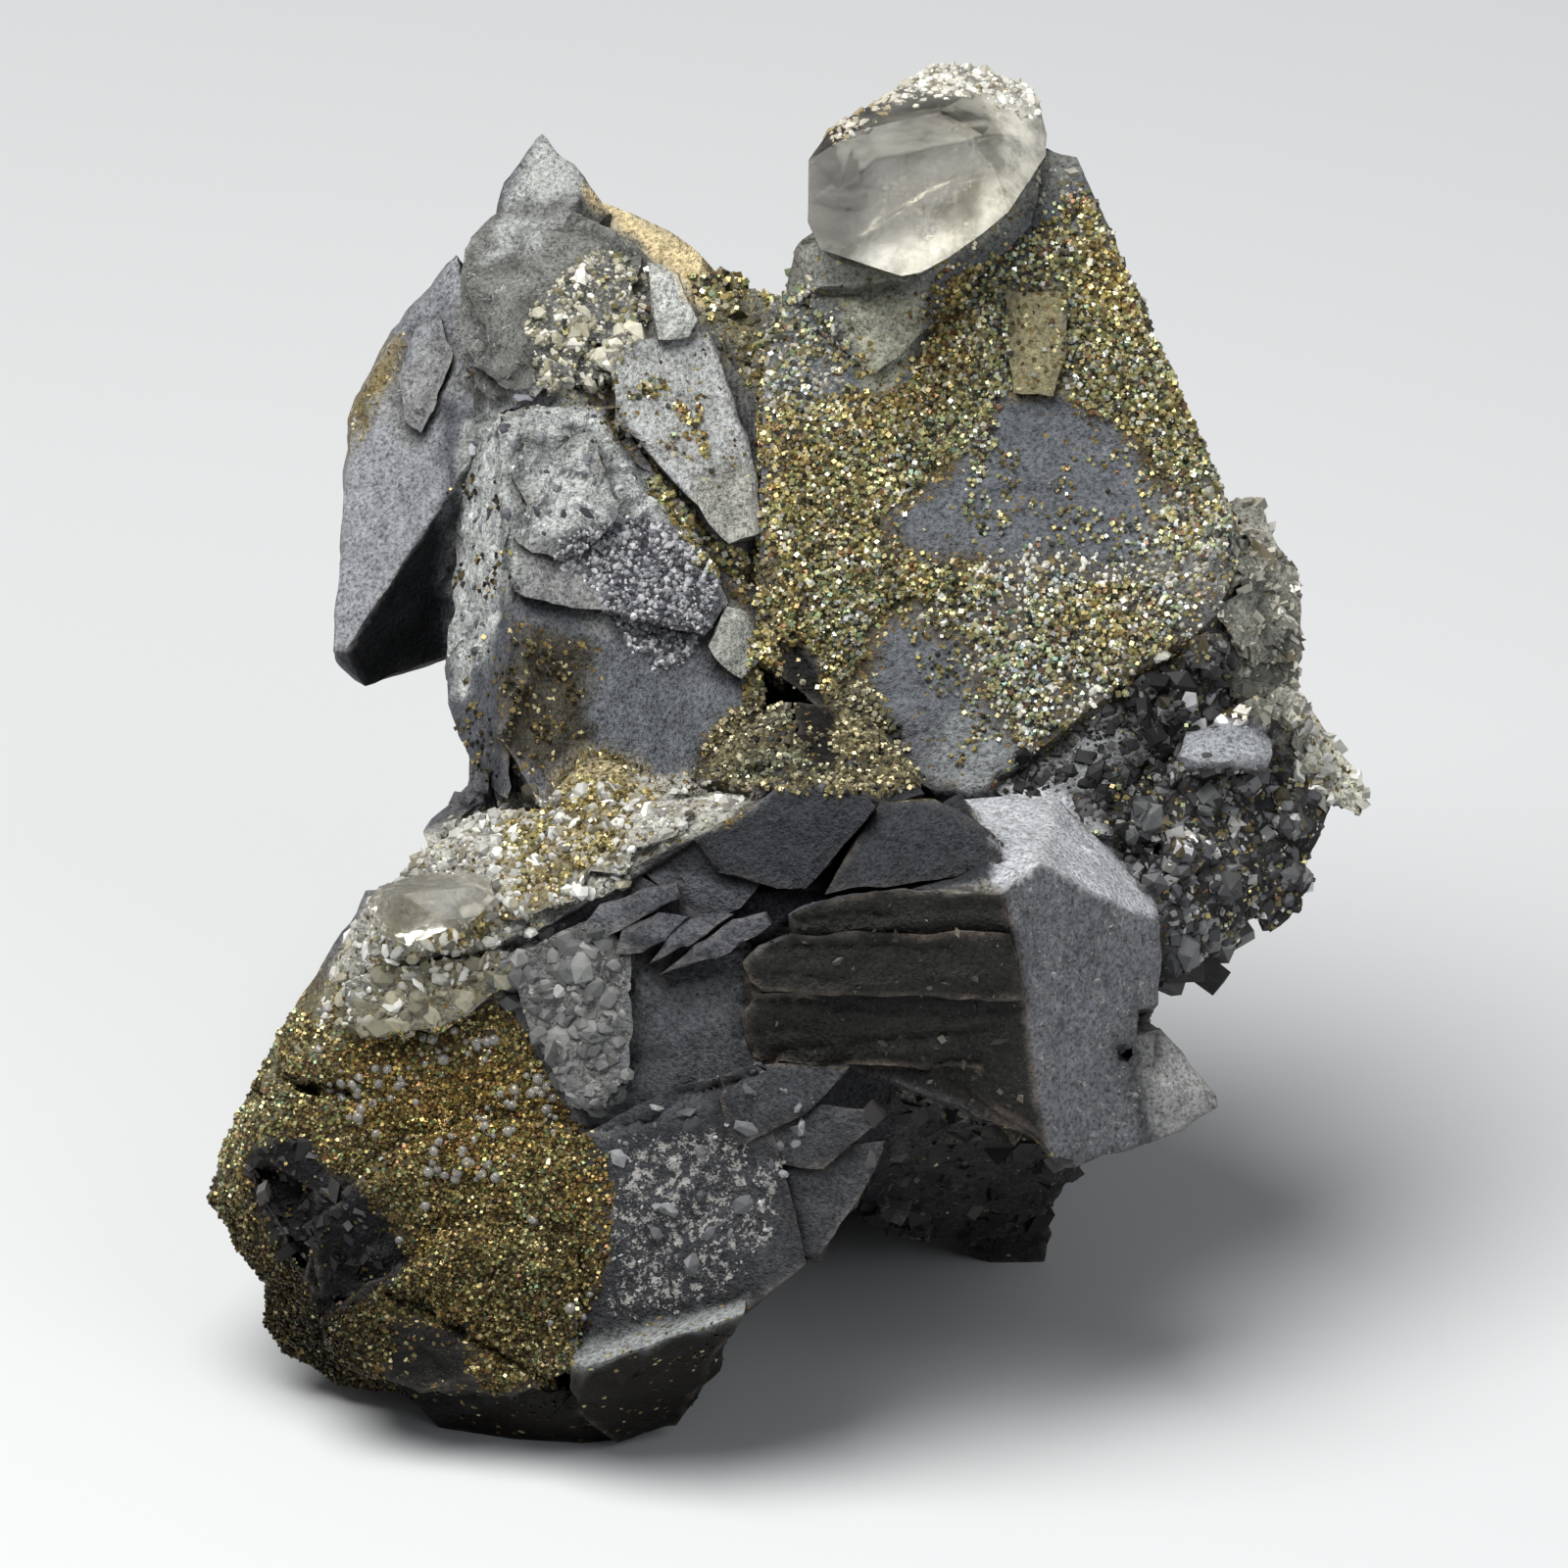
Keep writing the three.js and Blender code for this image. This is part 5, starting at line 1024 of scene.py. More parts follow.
def makeCalcite():
    piece = copyOfNode("grey_calcite_cluster", "calcite")
    solid = piece.data.copy()
    solid.name = "calciteAsPacked"
    refine(piece, edgeLength)
    print("calcite refined:", len(piece.data.polygons), "triangles")
    points, normals = pointsOf(piece.data), normalsOf(piece.data)
    tint, gold, pale, lumps, wide = paintCalcite(points, normals)
    crusted = crustShare(points)
    ground = srgb(*calciteForm["underCrust"]) * np.exp(0.25 * rough(points, 0.9, 83))[:, None]
    # painted shade on the ground between the grains too
    ground = ground * paintedShade(points, normals)
    for name, share in crusted.items():
        share = share * (1 - bareness(points)) * crustNodes[name]["ground"]
        tint += share[:, None] * (ground - tint)
        gold = np.maximum(gold, 0.4 * share)
    # lumps along the normals, none where the cluster stands
    stands = smooth(0.3, 1.2, toModel(points)[:, 2] * 1000)
    lump = np.zeros(len(points))
    for size in (0.8, 1.3, 2.0):
        weight = np.clip(1 - np.abs(wide - size) / 0.6, 0, 1)
        lump += weight * rough(points, size, 91 + int(size * 10), 2)
    lump = np.where(lump > 0, lump, 0.7 * lump) * lumps * stands
    edge = edgeDistances(solid, points, True)
    groove = edgeDistances(solid, points, False)
    bpy.data.meshes.remove(solid)
    # thin places near an edge keep their shape
    lump *= smooth(0.0, 0.9, edge) * 0.8 + 0.2
    facing = smooth(0.0, 0.3, normals[:, 2])
    stray = np.stack([rough(points, 1.8, seed, 2) for seed in (61, 63)], axis=1)
    bent = points[:, :2] + creaseForm["bend"] * stray
    for line, height, above, below in creases:
        lump += creaseAt(bent, line, height, above, below) * facing * stands
    for name, stretch, height in striaeRows:
        share = patch(points, name, 0.3, 0.2) * facing * stands
        lump += share * height * rough(points * np.array(stretch), 1.0, 95 + len(name), 3)
    # everything wavers a little sideways too, so that no edge is ruled
    waver = np.stack([rough(points, 1.9, seed, 3) for seed in (65, 66, 67)], axis=1)
    waver *= (stands * (0.1 + 1.3 * np.minimum(lumps, 0.3)))[:, None]
    movePoints(piece.data, points + normals * lump[:, None] + waver)
    # painted shade darkens the grooves, and the ends of the ridged plates are brown
    tint *= (1 - 0.55 * np.exp(-((groove / calciteForm["groove"]) ** 2)))[:, None]
    rim = np.exp(-((edge / calciteForm["rimWidth"]) ** 2)) * facing
    rim *= patch(points, "ridgedDark", 0.2, 0.1) * smooth(-0.4, 0.5, rough(points, 1.4, 85))
    tint += (0.6 * rim)[:, None] * (srgb(*calciteForm["rim"]) - tint)
    worn = np.exp(-((edge / calciteForm["worn"]) ** 2))
    frost = 0.7 * worn * smooth(-0.5, 0.4, rough(points, 1.6, 84))
    storeColour(piece.data, "tint", tint)
    for name, values in (("gold", gold), ("pale", pale), ("frost", frost)):
        storeValue(piece.data, name, values)
    selectOnly(piece)
    bpy.ops.object.shade_smooth_by_angle(angle=math.radians(calciteForm["sharp"]))
    # druse and crust keep their small flat faces
    coarse = np.array([lumps[face.vertices[0]] > 0.18 for face in piece.data.polygons])
    flags = np.empty(len(coarse), bool)
    piece.data.polygons.foreach_get("use_smooth", flags)
    piece.data.polygons.foreach_set("use_smooth", flags & ~coarse)
    finishPiece(piece, calciteMaterial(), ("grey_calcite_cluster",))
    return piece


# Each crust of the CAD model: its grains for each square mm, their sizes in mm, their colours, how high
# they pile in mm, how much of the crust is bare (-1 none, 1 all), and how far it colours the ground
# between the grains
crustNodes = {
    "pyrite_crust_tall_face": {
        "density": 44, "size": (0.11, 0.28), "mix": "tall", "lift": 0.45, "bare": -0.45, "ground": 1.0,
    },
    "pyrite_crust_tall_edge": {
        "density": 44, "size": (0.11, 0.28), "mix": "tall", "lift": 0.45, "bare": -0.6, "ground": 1.0,
    },
    "pyrite_crust_front_face": {
        "density": 66, "size": (0.08, 0.22), "mix": "front", "lift": 0.2, "bare": -0.8, "ground": 1.0,
    },
    "pyrite_crust_sliver": {
        "density": 18, "size": (0.12, 0.26), "mix": "tall", "lift": 0.15, "bare": 0.15, "ground": 0.15,
    },
    "pyrite_crust_spire_foot": {
        "density": 20, "size": (0.12, 0.28), "mix": "foot", "lift": 0.2, "bare": 0.0, "ground": 0.3,
    },
    "pyrite_crust_valley": {
        "density": 30, "size": (0.12, 0.3), "mix": "valley", "lift": 0.35, "bare": -0.4, "ground": 0.8,
    },
    "pyrite_crust_band": {
        "density": 34, "size": (0.11, 0.26), "mix": "band", "lift": 0.25, "bare": 0.2, "ground": 0.3,
    },
}

# Colours of the small crystals and how common each is
grainMixes = {
    "tall": [
        ((190, 179, 131), 5), ((157, 144, 97), 6), ((122, 110, 79), 4), ((160, 166, 124), 4),
        ((142, 108, 85), 1.2), ((168, 167, 161), 4), ((226, 223, 208), 1.8), ((116, 134, 114), 1),
        ((76, 73, 66), 4.5),
    ],
    "front": [
        ((148, 130, 80), 5), ((110, 94, 58), 6), ((76, 64, 44), 7), ((128, 132, 86), 2.5),
        ((118, 84, 60), 1.0), ((210, 198, 148), 1.2), ((100, 122, 92), 0.6),
    ],
    "foot": [((104, 94, 68), 4), ((72, 66, 52), 5), ((46, 44, 42), 4), ((150, 138, 98), 1)],
    "band": [
        ((178, 164, 116), 5), ((152, 138, 94), 4), ((196, 190, 168), 2), ((118, 104, 70), 3),
        ((222, 212, 166), 0.8),
    ],
    "grey": [((104, 105, 108), 4), ((134, 135, 138), 3), ((76, 77, 80), 3), ((168, 168, 168), 1)],
    "druse": [
        ((66, 66, 69), 5), ((102, 103, 104), 4), ((42, 41, 42), 4), ((150, 149, 146), 2.2),
        ((88, 80, 58), 1), ((188, 189, 190), 1.0),
    ],
    "ridge": [((112, 108, 86), 4), ((92, 88, 68), 4), ((138, 134, 110), 2), ((68, 66, 58), 3)],
    "valley": [((142, 137, 112), 4), ((117, 112, 90), 4), ((172, 167, 144), 2), ((86, 84, 76), 3)],
    "dark": [((36, 35, 35), 5), ((54, 52, 51), 3), ((92, 90, 88), 0.6)],
    "scale": [((92, 93, 96), 4), ((116, 117, 119), 3), ((72, 73, 76), 4), ((144, 144, 144), 1)],
    "chips": [((62, 60, 55), 4), ((88, 84, 76), 2), ((46, 45, 43), 4)],
    "veil": [((96, 97, 96), 5), ((112, 113, 111), 3), ((82, 83, 83), 3), ((140, 141, 138), 0.6)],
    "rim": [((118, 115, 98), 5), ((136, 133, 116), 3), ((100, 97, 80), 3), ((160, 158, 142), 0.6)],
    "pebbly": [((172, 172, 174), 4), ((138, 139, 143), 4), ((104, 105, 110), 4), ((70, 70, 76), 3)],
    "bandPale": [
        ((186, 186, 180), 4), ((166, 165, 158), 4), ((206, 206, 202), 2), ((136, 131, 114), 2),
        ((112, 110, 104), 2),
    ],
    "shoulder": [
        ((176, 173, 156), 4), ((146, 142, 122), 4), ((202, 200, 190), 2.5), ((112, 106, 80), 1.5),
        ((92, 90, 86), 1),
    ],
    "cream": [
        ((168, 165, 152), 4), ((140, 137, 126), 4), ((190, 187, 178), 2), ((116, 108, 86), 1.5),
        ((90, 88, 84), 1.5),
    ],
    "crown": [
        ((196, 194, 184), 5), ((172, 169, 156), 3), ((218, 217, 210), 2), ((138, 126, 100), 1),
    ],
}


# Places that the crusts and the druse leave bare: how ragged their borders are, in mm, and how bare
# they are
bareRows = {
    "frontHollow": (0.9, 1.0),
    "frontLowGrey": (1.0, 1.0),
    "tallTab": (0.5, 1.0),
    "tallCone": (0.9, 0.8),
    "tallFoot": (0.8, 1.0),
    "tallHighGrey": (1.6, 1.0),
    "tallGreyLeft": (1.4, 0.6),
    "tallPaleRight": (1.4, 0.6),
    "tallLowBand": (1.6, 0.4),
    "shelf": (0.2, 1.0),
    "spireWindow": (0.1, 1.0),
    "crevice": (0.5, 1.0),
    "rightSpur": (0.6, 1.0),
    "rightWall": (0.6, 1.0),
}


def bareness(points, ownPlace=""):
    # how bare each point is, from 0 to 1, where a piece's own place doesn't count as bare
    bare = np.zeros(len(points))
    for name, (ragged, share) in bareRows.items():
        if name != ownPlace:
            bare = np.maximum(bare, share * patch(points, name, 0.3, ragged, 1.1, 21))
    return bare


def edgeDistances(mesh, points, outward):
    # how far each point lies, in mm, from the CAD mesh's nearest outward edge or its nearest groove
    shape = bmesh.new()
    shape.from_mesh(mesh)
    places = []
    for edge in shape.edges:
        if len(edge.link_faces) != 2 or edge.is_convex != outward:
            continue
        if edge.calc_face_angle(0) < math.radians(calciteForm["edge"]):
            continue
        start, end = edge.verts[0].co, edge.verts[1].co
        steps = max(int((end - start).length * 1000 / calciteForm["edgeStep"]), 1)
        for step in range(steps + 1):
            places.append(start.lerp(end, step / steps))
    shape.free()
    tree = kdtree.KDTree(len(places))
    for index, place in enumerate(places):
        tree.insert(place, index)
    tree.balance()
    return np.array([tree.find(tuple(place))[2] for place in toModel(points)]) * 1000


def surfaceTree(mesh):
    return BVHTree.FromPolygons(
        [vertex.co for vertex in mesh.vertices], [tuple(face.vertices) for face in mesh.polygons]
    )


coverForm = {
    "close": 0.0015,  # metres, margin round a crust's box
    "reach": 0.0014,  # metres, how far from a crust the ground is coloured
    "full": 0.6,  # mm, up to which it is coloured fully
    "fade": 0.8,  # mm, over which the colour ends
}


def crustShare(points):
    # how much each point lies under a pyrite crust
    shares = {}
    world = toModel(points)
    margin = coverForm["close"]
    for name in crustNodes:
        tree = surfaceTree(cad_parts[name].data)
        low, high = (np.array(corner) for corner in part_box(name))
        close = np.all((world > low - margin) & (world < high + margin), axis=1)
        share = np.zeros(len(points))
        for index in np.nonzero(close)[0]:
            gap = tree.find_nearest(tuple(world[index]), coverForm["reach"])[3]
            if gap is not None:
                share[index] = 1 - max(gap * 1000 - coverForm["full"], 0) / coverForm["fade"]
        shares[name] = np.clip(share, 0, 1)
    return shares


# Places where the pyrite is paler, and by how much
paleRows = {"frontPaleEdge": 1.5, "tallLowBand": 0.8, "tallGreyLeft": 0.8, "tallPaleRight": 0.8}


pyriteForm = {
    "facing": 0.15,  # how far a crust's faces turn to the front at least, to bear grains
    "reach": 0.003,  # metres, how far from a crust the calcite below it is looked for
    "cleared": 0.97,  # share of the grains that the bare places lose
    "change": 0.22,  # how much the grains of one colour differ in brightness
    "cubes": 0.6,  # share of the crusts' grains that are cubes, the rest are octahedra
    "octahedra": 1.1,  # how much larger those are
    "lift": 0.05,  # mm, how far the drifts' grains stand out
}


def facingUs(middles, ups):
    return ups[:, 2] > pyriteForm["facing"]


def anywhere(middles):
    return 1.0


def zoned(points):
    # warm and golden in some places of a crust, cool and grey in others
    warm = smooth(-0.5, 0.5, rough(points, 4.5, 88, 2))[:, None]
    tint = warm * [1.08, 1.0, 0.84] + (1 - warm) * [0.9, 0.96, 1.0]
    pale = np.zeros(len(points))
    for name, share in paleRows.items():
        pale = np.maximum(pale, share * patch(points, name, 1.0, 1.2))
    tint = tint * (1 + pale[:, None] * [0.25, 0.34, 0.6])
    return tint * np.exp(0.22 * rough(points, 1.5, 89))[:, None]


def makeCrusts(calcite, material):
    # grains of pyrite on the calcite, where each crust of the CAD model lies
    tree = surfaceTree(calcite.data)
    for number, (node, form) in enumerate(crustNodes.items()):
        chance = np.random.default_rng(200 + number)
        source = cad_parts[node].data
        places, normals = spread(source, form["density"], facingUs, anywhere, chance)
        kept, ups = [], []
        for place in toModel(places):
            found = tree.find_nearest(tuple(place), pyriteForm["reach"])
            if found[0] is not None:
                kept.append(tuple(found[0]))
                ups.append(tuple(found[1]))
        places = toSeen(np.array(kept))
        normals = np.array(ups) @ seenAxes.T
        # gaps in drifts, so that the crust frays
        drift = rough(places, 2.6, 300 + number) + 0.5 * rough(places, 0.9, 310 + number)
        cleared = pyriteForm["cleared"] * bareness(places)
        stay = (drift > form["bare"]) & (chance.random(len(places)) > cleared)
        places, normals = places[stay], normals[stay]
        count = len(places)
        size = chance.uniform(*form["size"], count)
        places = places + normals * (form["lift"] * chance.random(count) ** 1.6)[:, None]
        tints = mixOf(form["mix"], count, chance, pyriteForm["change"])
        # painted shade on grains that look down or sit at the front crystal's foot
        tints = tints * paintedShade(places, normals) * zoned(places)
        cubic = chance.random(count) < pyriteForm["cubes"]
        size[~cubic] *= pyriteForm["octahedra"]
        name = "grains_" + node[len("pyrite_crust_"):]
        parts = []
        for kind, rows in (("cube", cubic), ("octahedron", ~cubic)):
            part = grainsAt(name, kind, places[rows], normals[rows], size[rows], tints[rows], chance)
            parts.append(part)
        piece = joined(parts, name)
        finishPiece(piece, material, (node,))
        print("crust", name, count, "grains")


# Thinner drifts of pyrite grains around the crusts: outline, number for each square mm, sizes in mm,
# colours, and how much of the place is bare (-1 none, 1 all). Each group becomes one piece
driftRows = {
    "driftsTall": [
        ("tallHigh", 30, (0.11, 0.27), "tall", -0.5),
        ("tallLeft", 28, (0.11, 0.27), "tall", -0.15),
        ("tallPaleRight", 20, (0.11, 0.27), "tall", -0.1),
        ("tallFace", 8, (0.12, 0.24), "tall", 0.2),
    ],
    "driftsFront": [
        ("frontGold", 26, (0.08, 0.2), "front", -0.7),
    ],
    "driftsMiddle": [
        ("bandGold", 16, (0.11, 0.24), "band", 0.1),
        ("lowerBlock", 2, (0.08, 0.18), "foot", 0.2),
        ("valley", 22, (0.12, 0.28), "valley", -0.3),
        ("backRidge", 14, (0.14, 0.34), "tall", 0.0),
        ("rightMatrix", 3, (0.12, 0.28), "tall", 0.3),
        ("sliverCrack", 18, (0.14, 0.32), "tall", -0.3),
        ("shoulderRough", 6, (0.14, 0.32), "tall", 0.25),
        ("spireSide", 3, (0.12, 0.26), "foot", 0.3),
    ],
}


def makeDrifts(calcite, material):
    number = 0
    for name, rows in driftRows.items():
        made = []
        for outline, density, sizes, mix, bare in rows:
            chance = np.random.default_rng(600 + number)

            def inPlace(middles, ups, outline=outline):
                return (insideBy(outline, middles) > 0) & (ups[:, 2] > 0.05)

            def allowed(middles, outline=outline, bare=bare, number=number):
                drift = rough(middles, 2.8, 330 + number) + 0.5 * rough(middles, 0.9, 350 + number)
                return (drift > bare) * (1 - pyriteForm["cleared"] * bareness(middles, outline))

            places, normals = spread(calcite.data, density, inPlace, allowed, chance)
            size = chance.uniform(*sizes, len(places))
            tints = mixOf(mix, len(places), chance, pyriteForm["change"])
            # painted shade on grains that look down or sit at the front crystal's foot
            tints = tints * paintedShade(places, normals) * zoned(places)
            places = places + normals * pyriteForm["lift"]
            made.append(grainsAt(name, "cube", places, normals, size, tints, chance))
            number += 1
        piece = joined(made, name)
        finishPiece(piece, material)
        print("drifts", name, len(piece.data.polygons), "triangles")


# Places with small crystals of their own: outline, kind, number for each square mm, sizes in mm,
# colours, how far they lean, how flat they are, how deep they sink as a share of their size
grainRows = {
    "whiteGrains": ("spireGrains", "pebble", 30.0, (0.2, 0.52), "pebbly", 5.0, 0.9, 0.1),
    "whiteGrainsHigh": ("spirePale", "pebble", 1.6, (0.15, 0.9), "pebbly", 0.8, 0.5, 0.12),
    "shoulderGrains": ("shoulderRough", "pebble", 10.0, (0.15, 0.6), "shoulder", 5.0, 0.9, 0.2),
    "shoulderLumps": ("shoulderRough", "pebble", 4.0, (0.4, 1.6), "shoulder", 5.0, 0.7, 0.35),
    "tallPaleGrains": ("tallPaleRight", "pebble", 9.0, (0.18, 0.6), "cream", 5.0, 0.8, 0.1),
    "tallLowGrains": ("tallLowBand", "pebble", 8.0, (0.18, 0.6), "crown", 5.0, 0.8, 0.1),
    "tallHighGrains": ("tallGreyLeft", "pebble", 10.0, (0.18, 0.55), "cream", 5.0, 0.8, 0.1),
    "tallUnderGrains": ("tallHighGrey", "rhomb", 4.0, (0.14, 0.5), "cream", 5.0, 0.8, 0.2),
    "frontScales": ("frontScales", "pebble", 0.8, (0.15, 1.3), "scale", 0.6, 0.45, 0.12),
    "frontDust": ("frontDusting", "pebble", 5.0, (0.1, 0.4), "grey", 1.0, 0.7, 0.2),
    "veilGrains": ("frontVeil", "pebble", 5.0, (0.3, 1.7), "veil", 0.5, 0.45, 0.1),
    "rimGrains": ("frontClearRim", "pebble", 5.0, (0.3, 1.7), "rim", 0.5, 0.45, 0.1),
    "bandGrains": ("band", "pebble", 6.0, (0.2, 1.0), "bandPale", 0.6, 0.55, 0.1),
    "rightDruse": ("rightMatrix", "rhomb", 2.0, (0.2, 0.7), "druse", 5.0, 1.0, 0.42),
    "rightLumps": ("rightMatrix", "pebble", 8.0, (0.25, 1.5), "druse", 5.0, 0.9, 0.36),
    "rightCubes": ("rightMatrix", "cube", 1.0, (0.25, 0.9), "druse", 5.0, 1.0, 0.42),
    "spurGrains": ("rightSpur", "rhomb", 4.0, (0.2, 0.8), "bandPale", 5.0, 0.8, 0.25),
    "wallGrains": ("rightWall", "rhomb", 4.6, (0.18, 0.8), "cream", 5.0, 0.7, 0.25),
    "lowerDruse": ("lowerMatrix", "rhomb", 2.0, (0.2, 1.1), "dark", 5.0, 1.0, 0.42),
    "ridgeDruse": ("backRidge", "pebble", 5.0, (0.2, 0.9), "ridge", 5.0, 0.9, 0.25),
    "valleyDruse": ("valley", "pebble", 2.4, (0.2, 0.6), "druse", 5.0, 1.0, 0.1),
    "ridgeChips": ("ridgedDark", "rhomb", 0.8, (0.08, 0.4), "chips", 0.8, 0.5, 0.1),
    "greyChips": ("ridgedGrey", "rhomb", 0.8, (0.08, 0.45), "scale", 0.8, 0.5, 0.1),
    "hollowDruse": ("frontHollow", "rhomb", 2.2, (0.2, 0.8), "dark", 5.0, 0.8, 0.3),
}


# The druse of the sides and the back: kind, number for each square mm, colours
backRows = {
    "backDruse": ("rhomb", 2.0, "druse"),
    "backTeeth": ("pebble", 0.8, "cream"),
}
grainForm = {
    "skew": 2.6,  # above 1, small ones are more common than large ones
    "change": 0.2,  # how much those of one colour differ in brightness
    "corners": 0.07,  # how uneven their corners are
    "uneven": 0.24,  # how much their proportions differ
    "backLowest": 0.0014,  # metres, none of the back's grow under this height
    "backSmallest": 0.25,  # mm
    "backRange": 0.9,  # mm, from the smallest to the largest
    "backSink": 0.4,  # share of their size by which they are sunk
    "backLean": 1.0,  # how far those lean
}


def makeGrains(calcite, material):
    # druse, pale grains, scales and chips, each in its own place of the front
    made = []
    for number, (name, row) in enumerate(grainRows.items()):
        outline, kind, density, sizes, mix, lean, flat, sink = row
        chance = np.random.default_rng(400 + number)

        def inPlace(middles, ups, outline=outline):
            return (insideBy(outline, middles) > -0.5) & (ups[:, 2] > 0.02)

        def allowed(middles, outline=outline):
            edge = insideBy(outline, middles) + 0.5 * rough(middles, 1.2, 76)
            return (edge > 0.1) * (1 - bareness(middles, outline))

        places, normals = spread(calcite.data, density, inPlace, allowed, chance)
        count = len(places)
        size = sizes[0] + (sizes[1] - sizes[0]) * chance.random(count) ** grainForm["skew"]
        # painted shade on grains that look down or sit at the front crystal's foot
        tints = mixOf(mix, count, chance, grainForm["change"]) * paintedShade(places, normals)
        if mix == "druse":
            # painted shade: darker towards the middle of the cluster, and uneven
            inner = smooth(24, 17, places[:, 0] - 0.5 * places[:, 1])
            tints *= ((1.15 - 1.02 * inner) * np.exp(0.6 * rough(places, 1.7, 74)))[:, None]
        places = places - normals * (size * sink)[:, None]
        uneven = (grainForm["corners"], grainForm["uneven"])
        made.append(grainsAt(name, kind, places, normals, size, tints, chance, lean, flat, *uneven))
        print("grains", name, count)
    # the sides and the back have druse in drifts
    chance = np.random.default_rng(470)

    def behind(middles, ups):
        clean = np.maximum(insideBy("clean", middles), insideBy("cleanTips", middles)) > 0
        rightSide = (ups[:, 2] < 0.02) & (ups[:, 0] > 0.7)
        rightSide &= (middles[:, 0] > 17) & (middles[:, 2] < -5)
        hidden = (ups[:, 2] < -0.25) & (middles[:, 2] < -14) | rightSide
        return hidden & (toModel(middles)[:, 2] > grainForm["backLowest"]) & ~clean

    def inDrifts(middles):
        return rough(middles, 9, 73) + 0.3 * rough(middles, 3, 75) > 0.1

    for name, (kind, density, mix) in backRows.items():
        places, normals = spread(calcite.data, density, behind, inDrifts, chance)
        count = len(places)
        size = chance.random(count) ** grainForm["skew"]
        size = grainForm["backSmallest"] + grainForm["backRange"] * size
        # painted shade on grains that look down or sit at the front crystal's foot
        tints = mixOf(mix, count, chance, grainForm["change"]) * paintedShade(places, normals)
        places = places - normals * (size * grainForm["backSink"])[:, None]
        made.append(grainsAt(name, kind, places, normals, size, tints, chance, grainForm["backLean"]))
        print("grains", name, count)
    for piece in made:
        finishPiece(piece, material)


# Blocks of calcite that hang from the lower edge of the right druse: right and up in mm, size in mm and
# brightness
blockRows = [
    (21.6, -9.0, 1.9, 0.5),
    (22.9, -9.2, 1.7, 0.7),
    (22.2, -10.4, 1.5, 0.4),
    (23.6, -10.6, 1.3, 0.35),
    (23.9, -8.6, 1.5, 0.8),
    (25.2, -8.2, 1.2, 0.9),
    (21.4, -10.9, 1.2, 0.5),
]


blockForm = {
    "depth": -8,  # mm, about how deep they hang
    "above": 1.5,  # mm, how far above a block the druse is that it hangs from
    "colour": (112, 111, 110),
    "up": (0.3, 0.2, 0.9),  # which way they point
    "turning": (1.0, 1.0, 0.05, 0.2),  # how far they lean, how flat and how uneven they are
}


def makeBlocks(calcite, material):
    # each block sits at the depth of the druse above it
    chance = np.random.default_rng(540)
    points = pointsOf(calcite.data)
    rows = np.array(blockRows)
    places = []
    for right, up in rows[:, :2]:
        gaps = np.hypot(points[:, 0] - right, points[:, 1] - up - blockForm["above"])
        gaps += 0.5 * np.abs(points[:, 2] - blockForm["depth"])
        places.append((right, up, points[gaps.argmin(), 2]))
    tints = srgb(*blockForm["colour"]) * rows[:, 3:4]
    normals = np.tile(blockForm["up"], (len(rows), 1))
    form = ("hangingBlocks", "cube", np.array(places), normals, rows[:, 2], tints, chance)
    piece = grainsAt(*form, *blockForm["turning"])
    finishPiece(piece, material)
    print("hanging blocks at depths", [round(place[2], 1) for place in places])


beadForm = {
    "density": 1.5,  # for each square mm
    "sizes": (0.3, 0.74),  # mm
    "colour": (232, 230, 224),
    "lift": 0.1,  # mm, how far they stand out
    "turning": (0.3, 0.8, 0.03),  # how far they lean, how flat and how uneven they are
}


def makeBeads(calcite, material):
    # clear droplets of late calcite on the golden front face, in loose groups
    chance = np.random.default_rng(501)

    def inPlace(middles, ups):
        return (insideBy("beads", middles) > 0) & (ups[:, 2] > 0.2)

    def grouped(middles):
        return rough(middles, 3.4, 77) + 0.4 * rough(middles, 1.4, 78) > 0.0

    places, normals = spread(calcite.data, beadForm["density"], inPlace, grouped, chance)
    size = chance.uniform(*beadForm["sizes"], len(places))
    tints = np.tile(srgb(*beadForm["colour"]), (len(places), 1))
    places = places + normals * beadForm["lift"]
    form = ("clearBeads", "bead", places, normals, size, tints, chance)
    piece = grainsAt(*form, *beadForm["turning"])
    piece.data.shade_smooth()
    finishPiece(piece, material)
    print("beads", len(places))


# The two clear crystals, and the crown of pale grains on the perched one
clearForm = {
    "edge": 0.9,  # mm, longest edge of the mesh
    "uneven": 0.07,  # mm, how far the faces wander
    "bevel": 0.00012,  # metres, worn edges
    "bevelAngle": 12,  # degrees, sharper edges are worn
    "sharp": 14,  # degrees, edges sharper than this stay sharp
    "crownDensity": 18,  # grains for each square mm
    "crownSizes": (0.2, 0.9),  # mm
    "crownSink": 0.2,  # share of a grain's size by which it is sunk
    "crownBrown": (150, 134, 104),  # colour of its brownish side
    "crownTurning": (0.6, 0.5, 0.06, 0.24),  # how far its grains lean, how flat and how uneven they are
}
clearNodes = {"clear_calcite_crystal": "clearCrystal", "clear_calcite_prism": "clearPrism"}


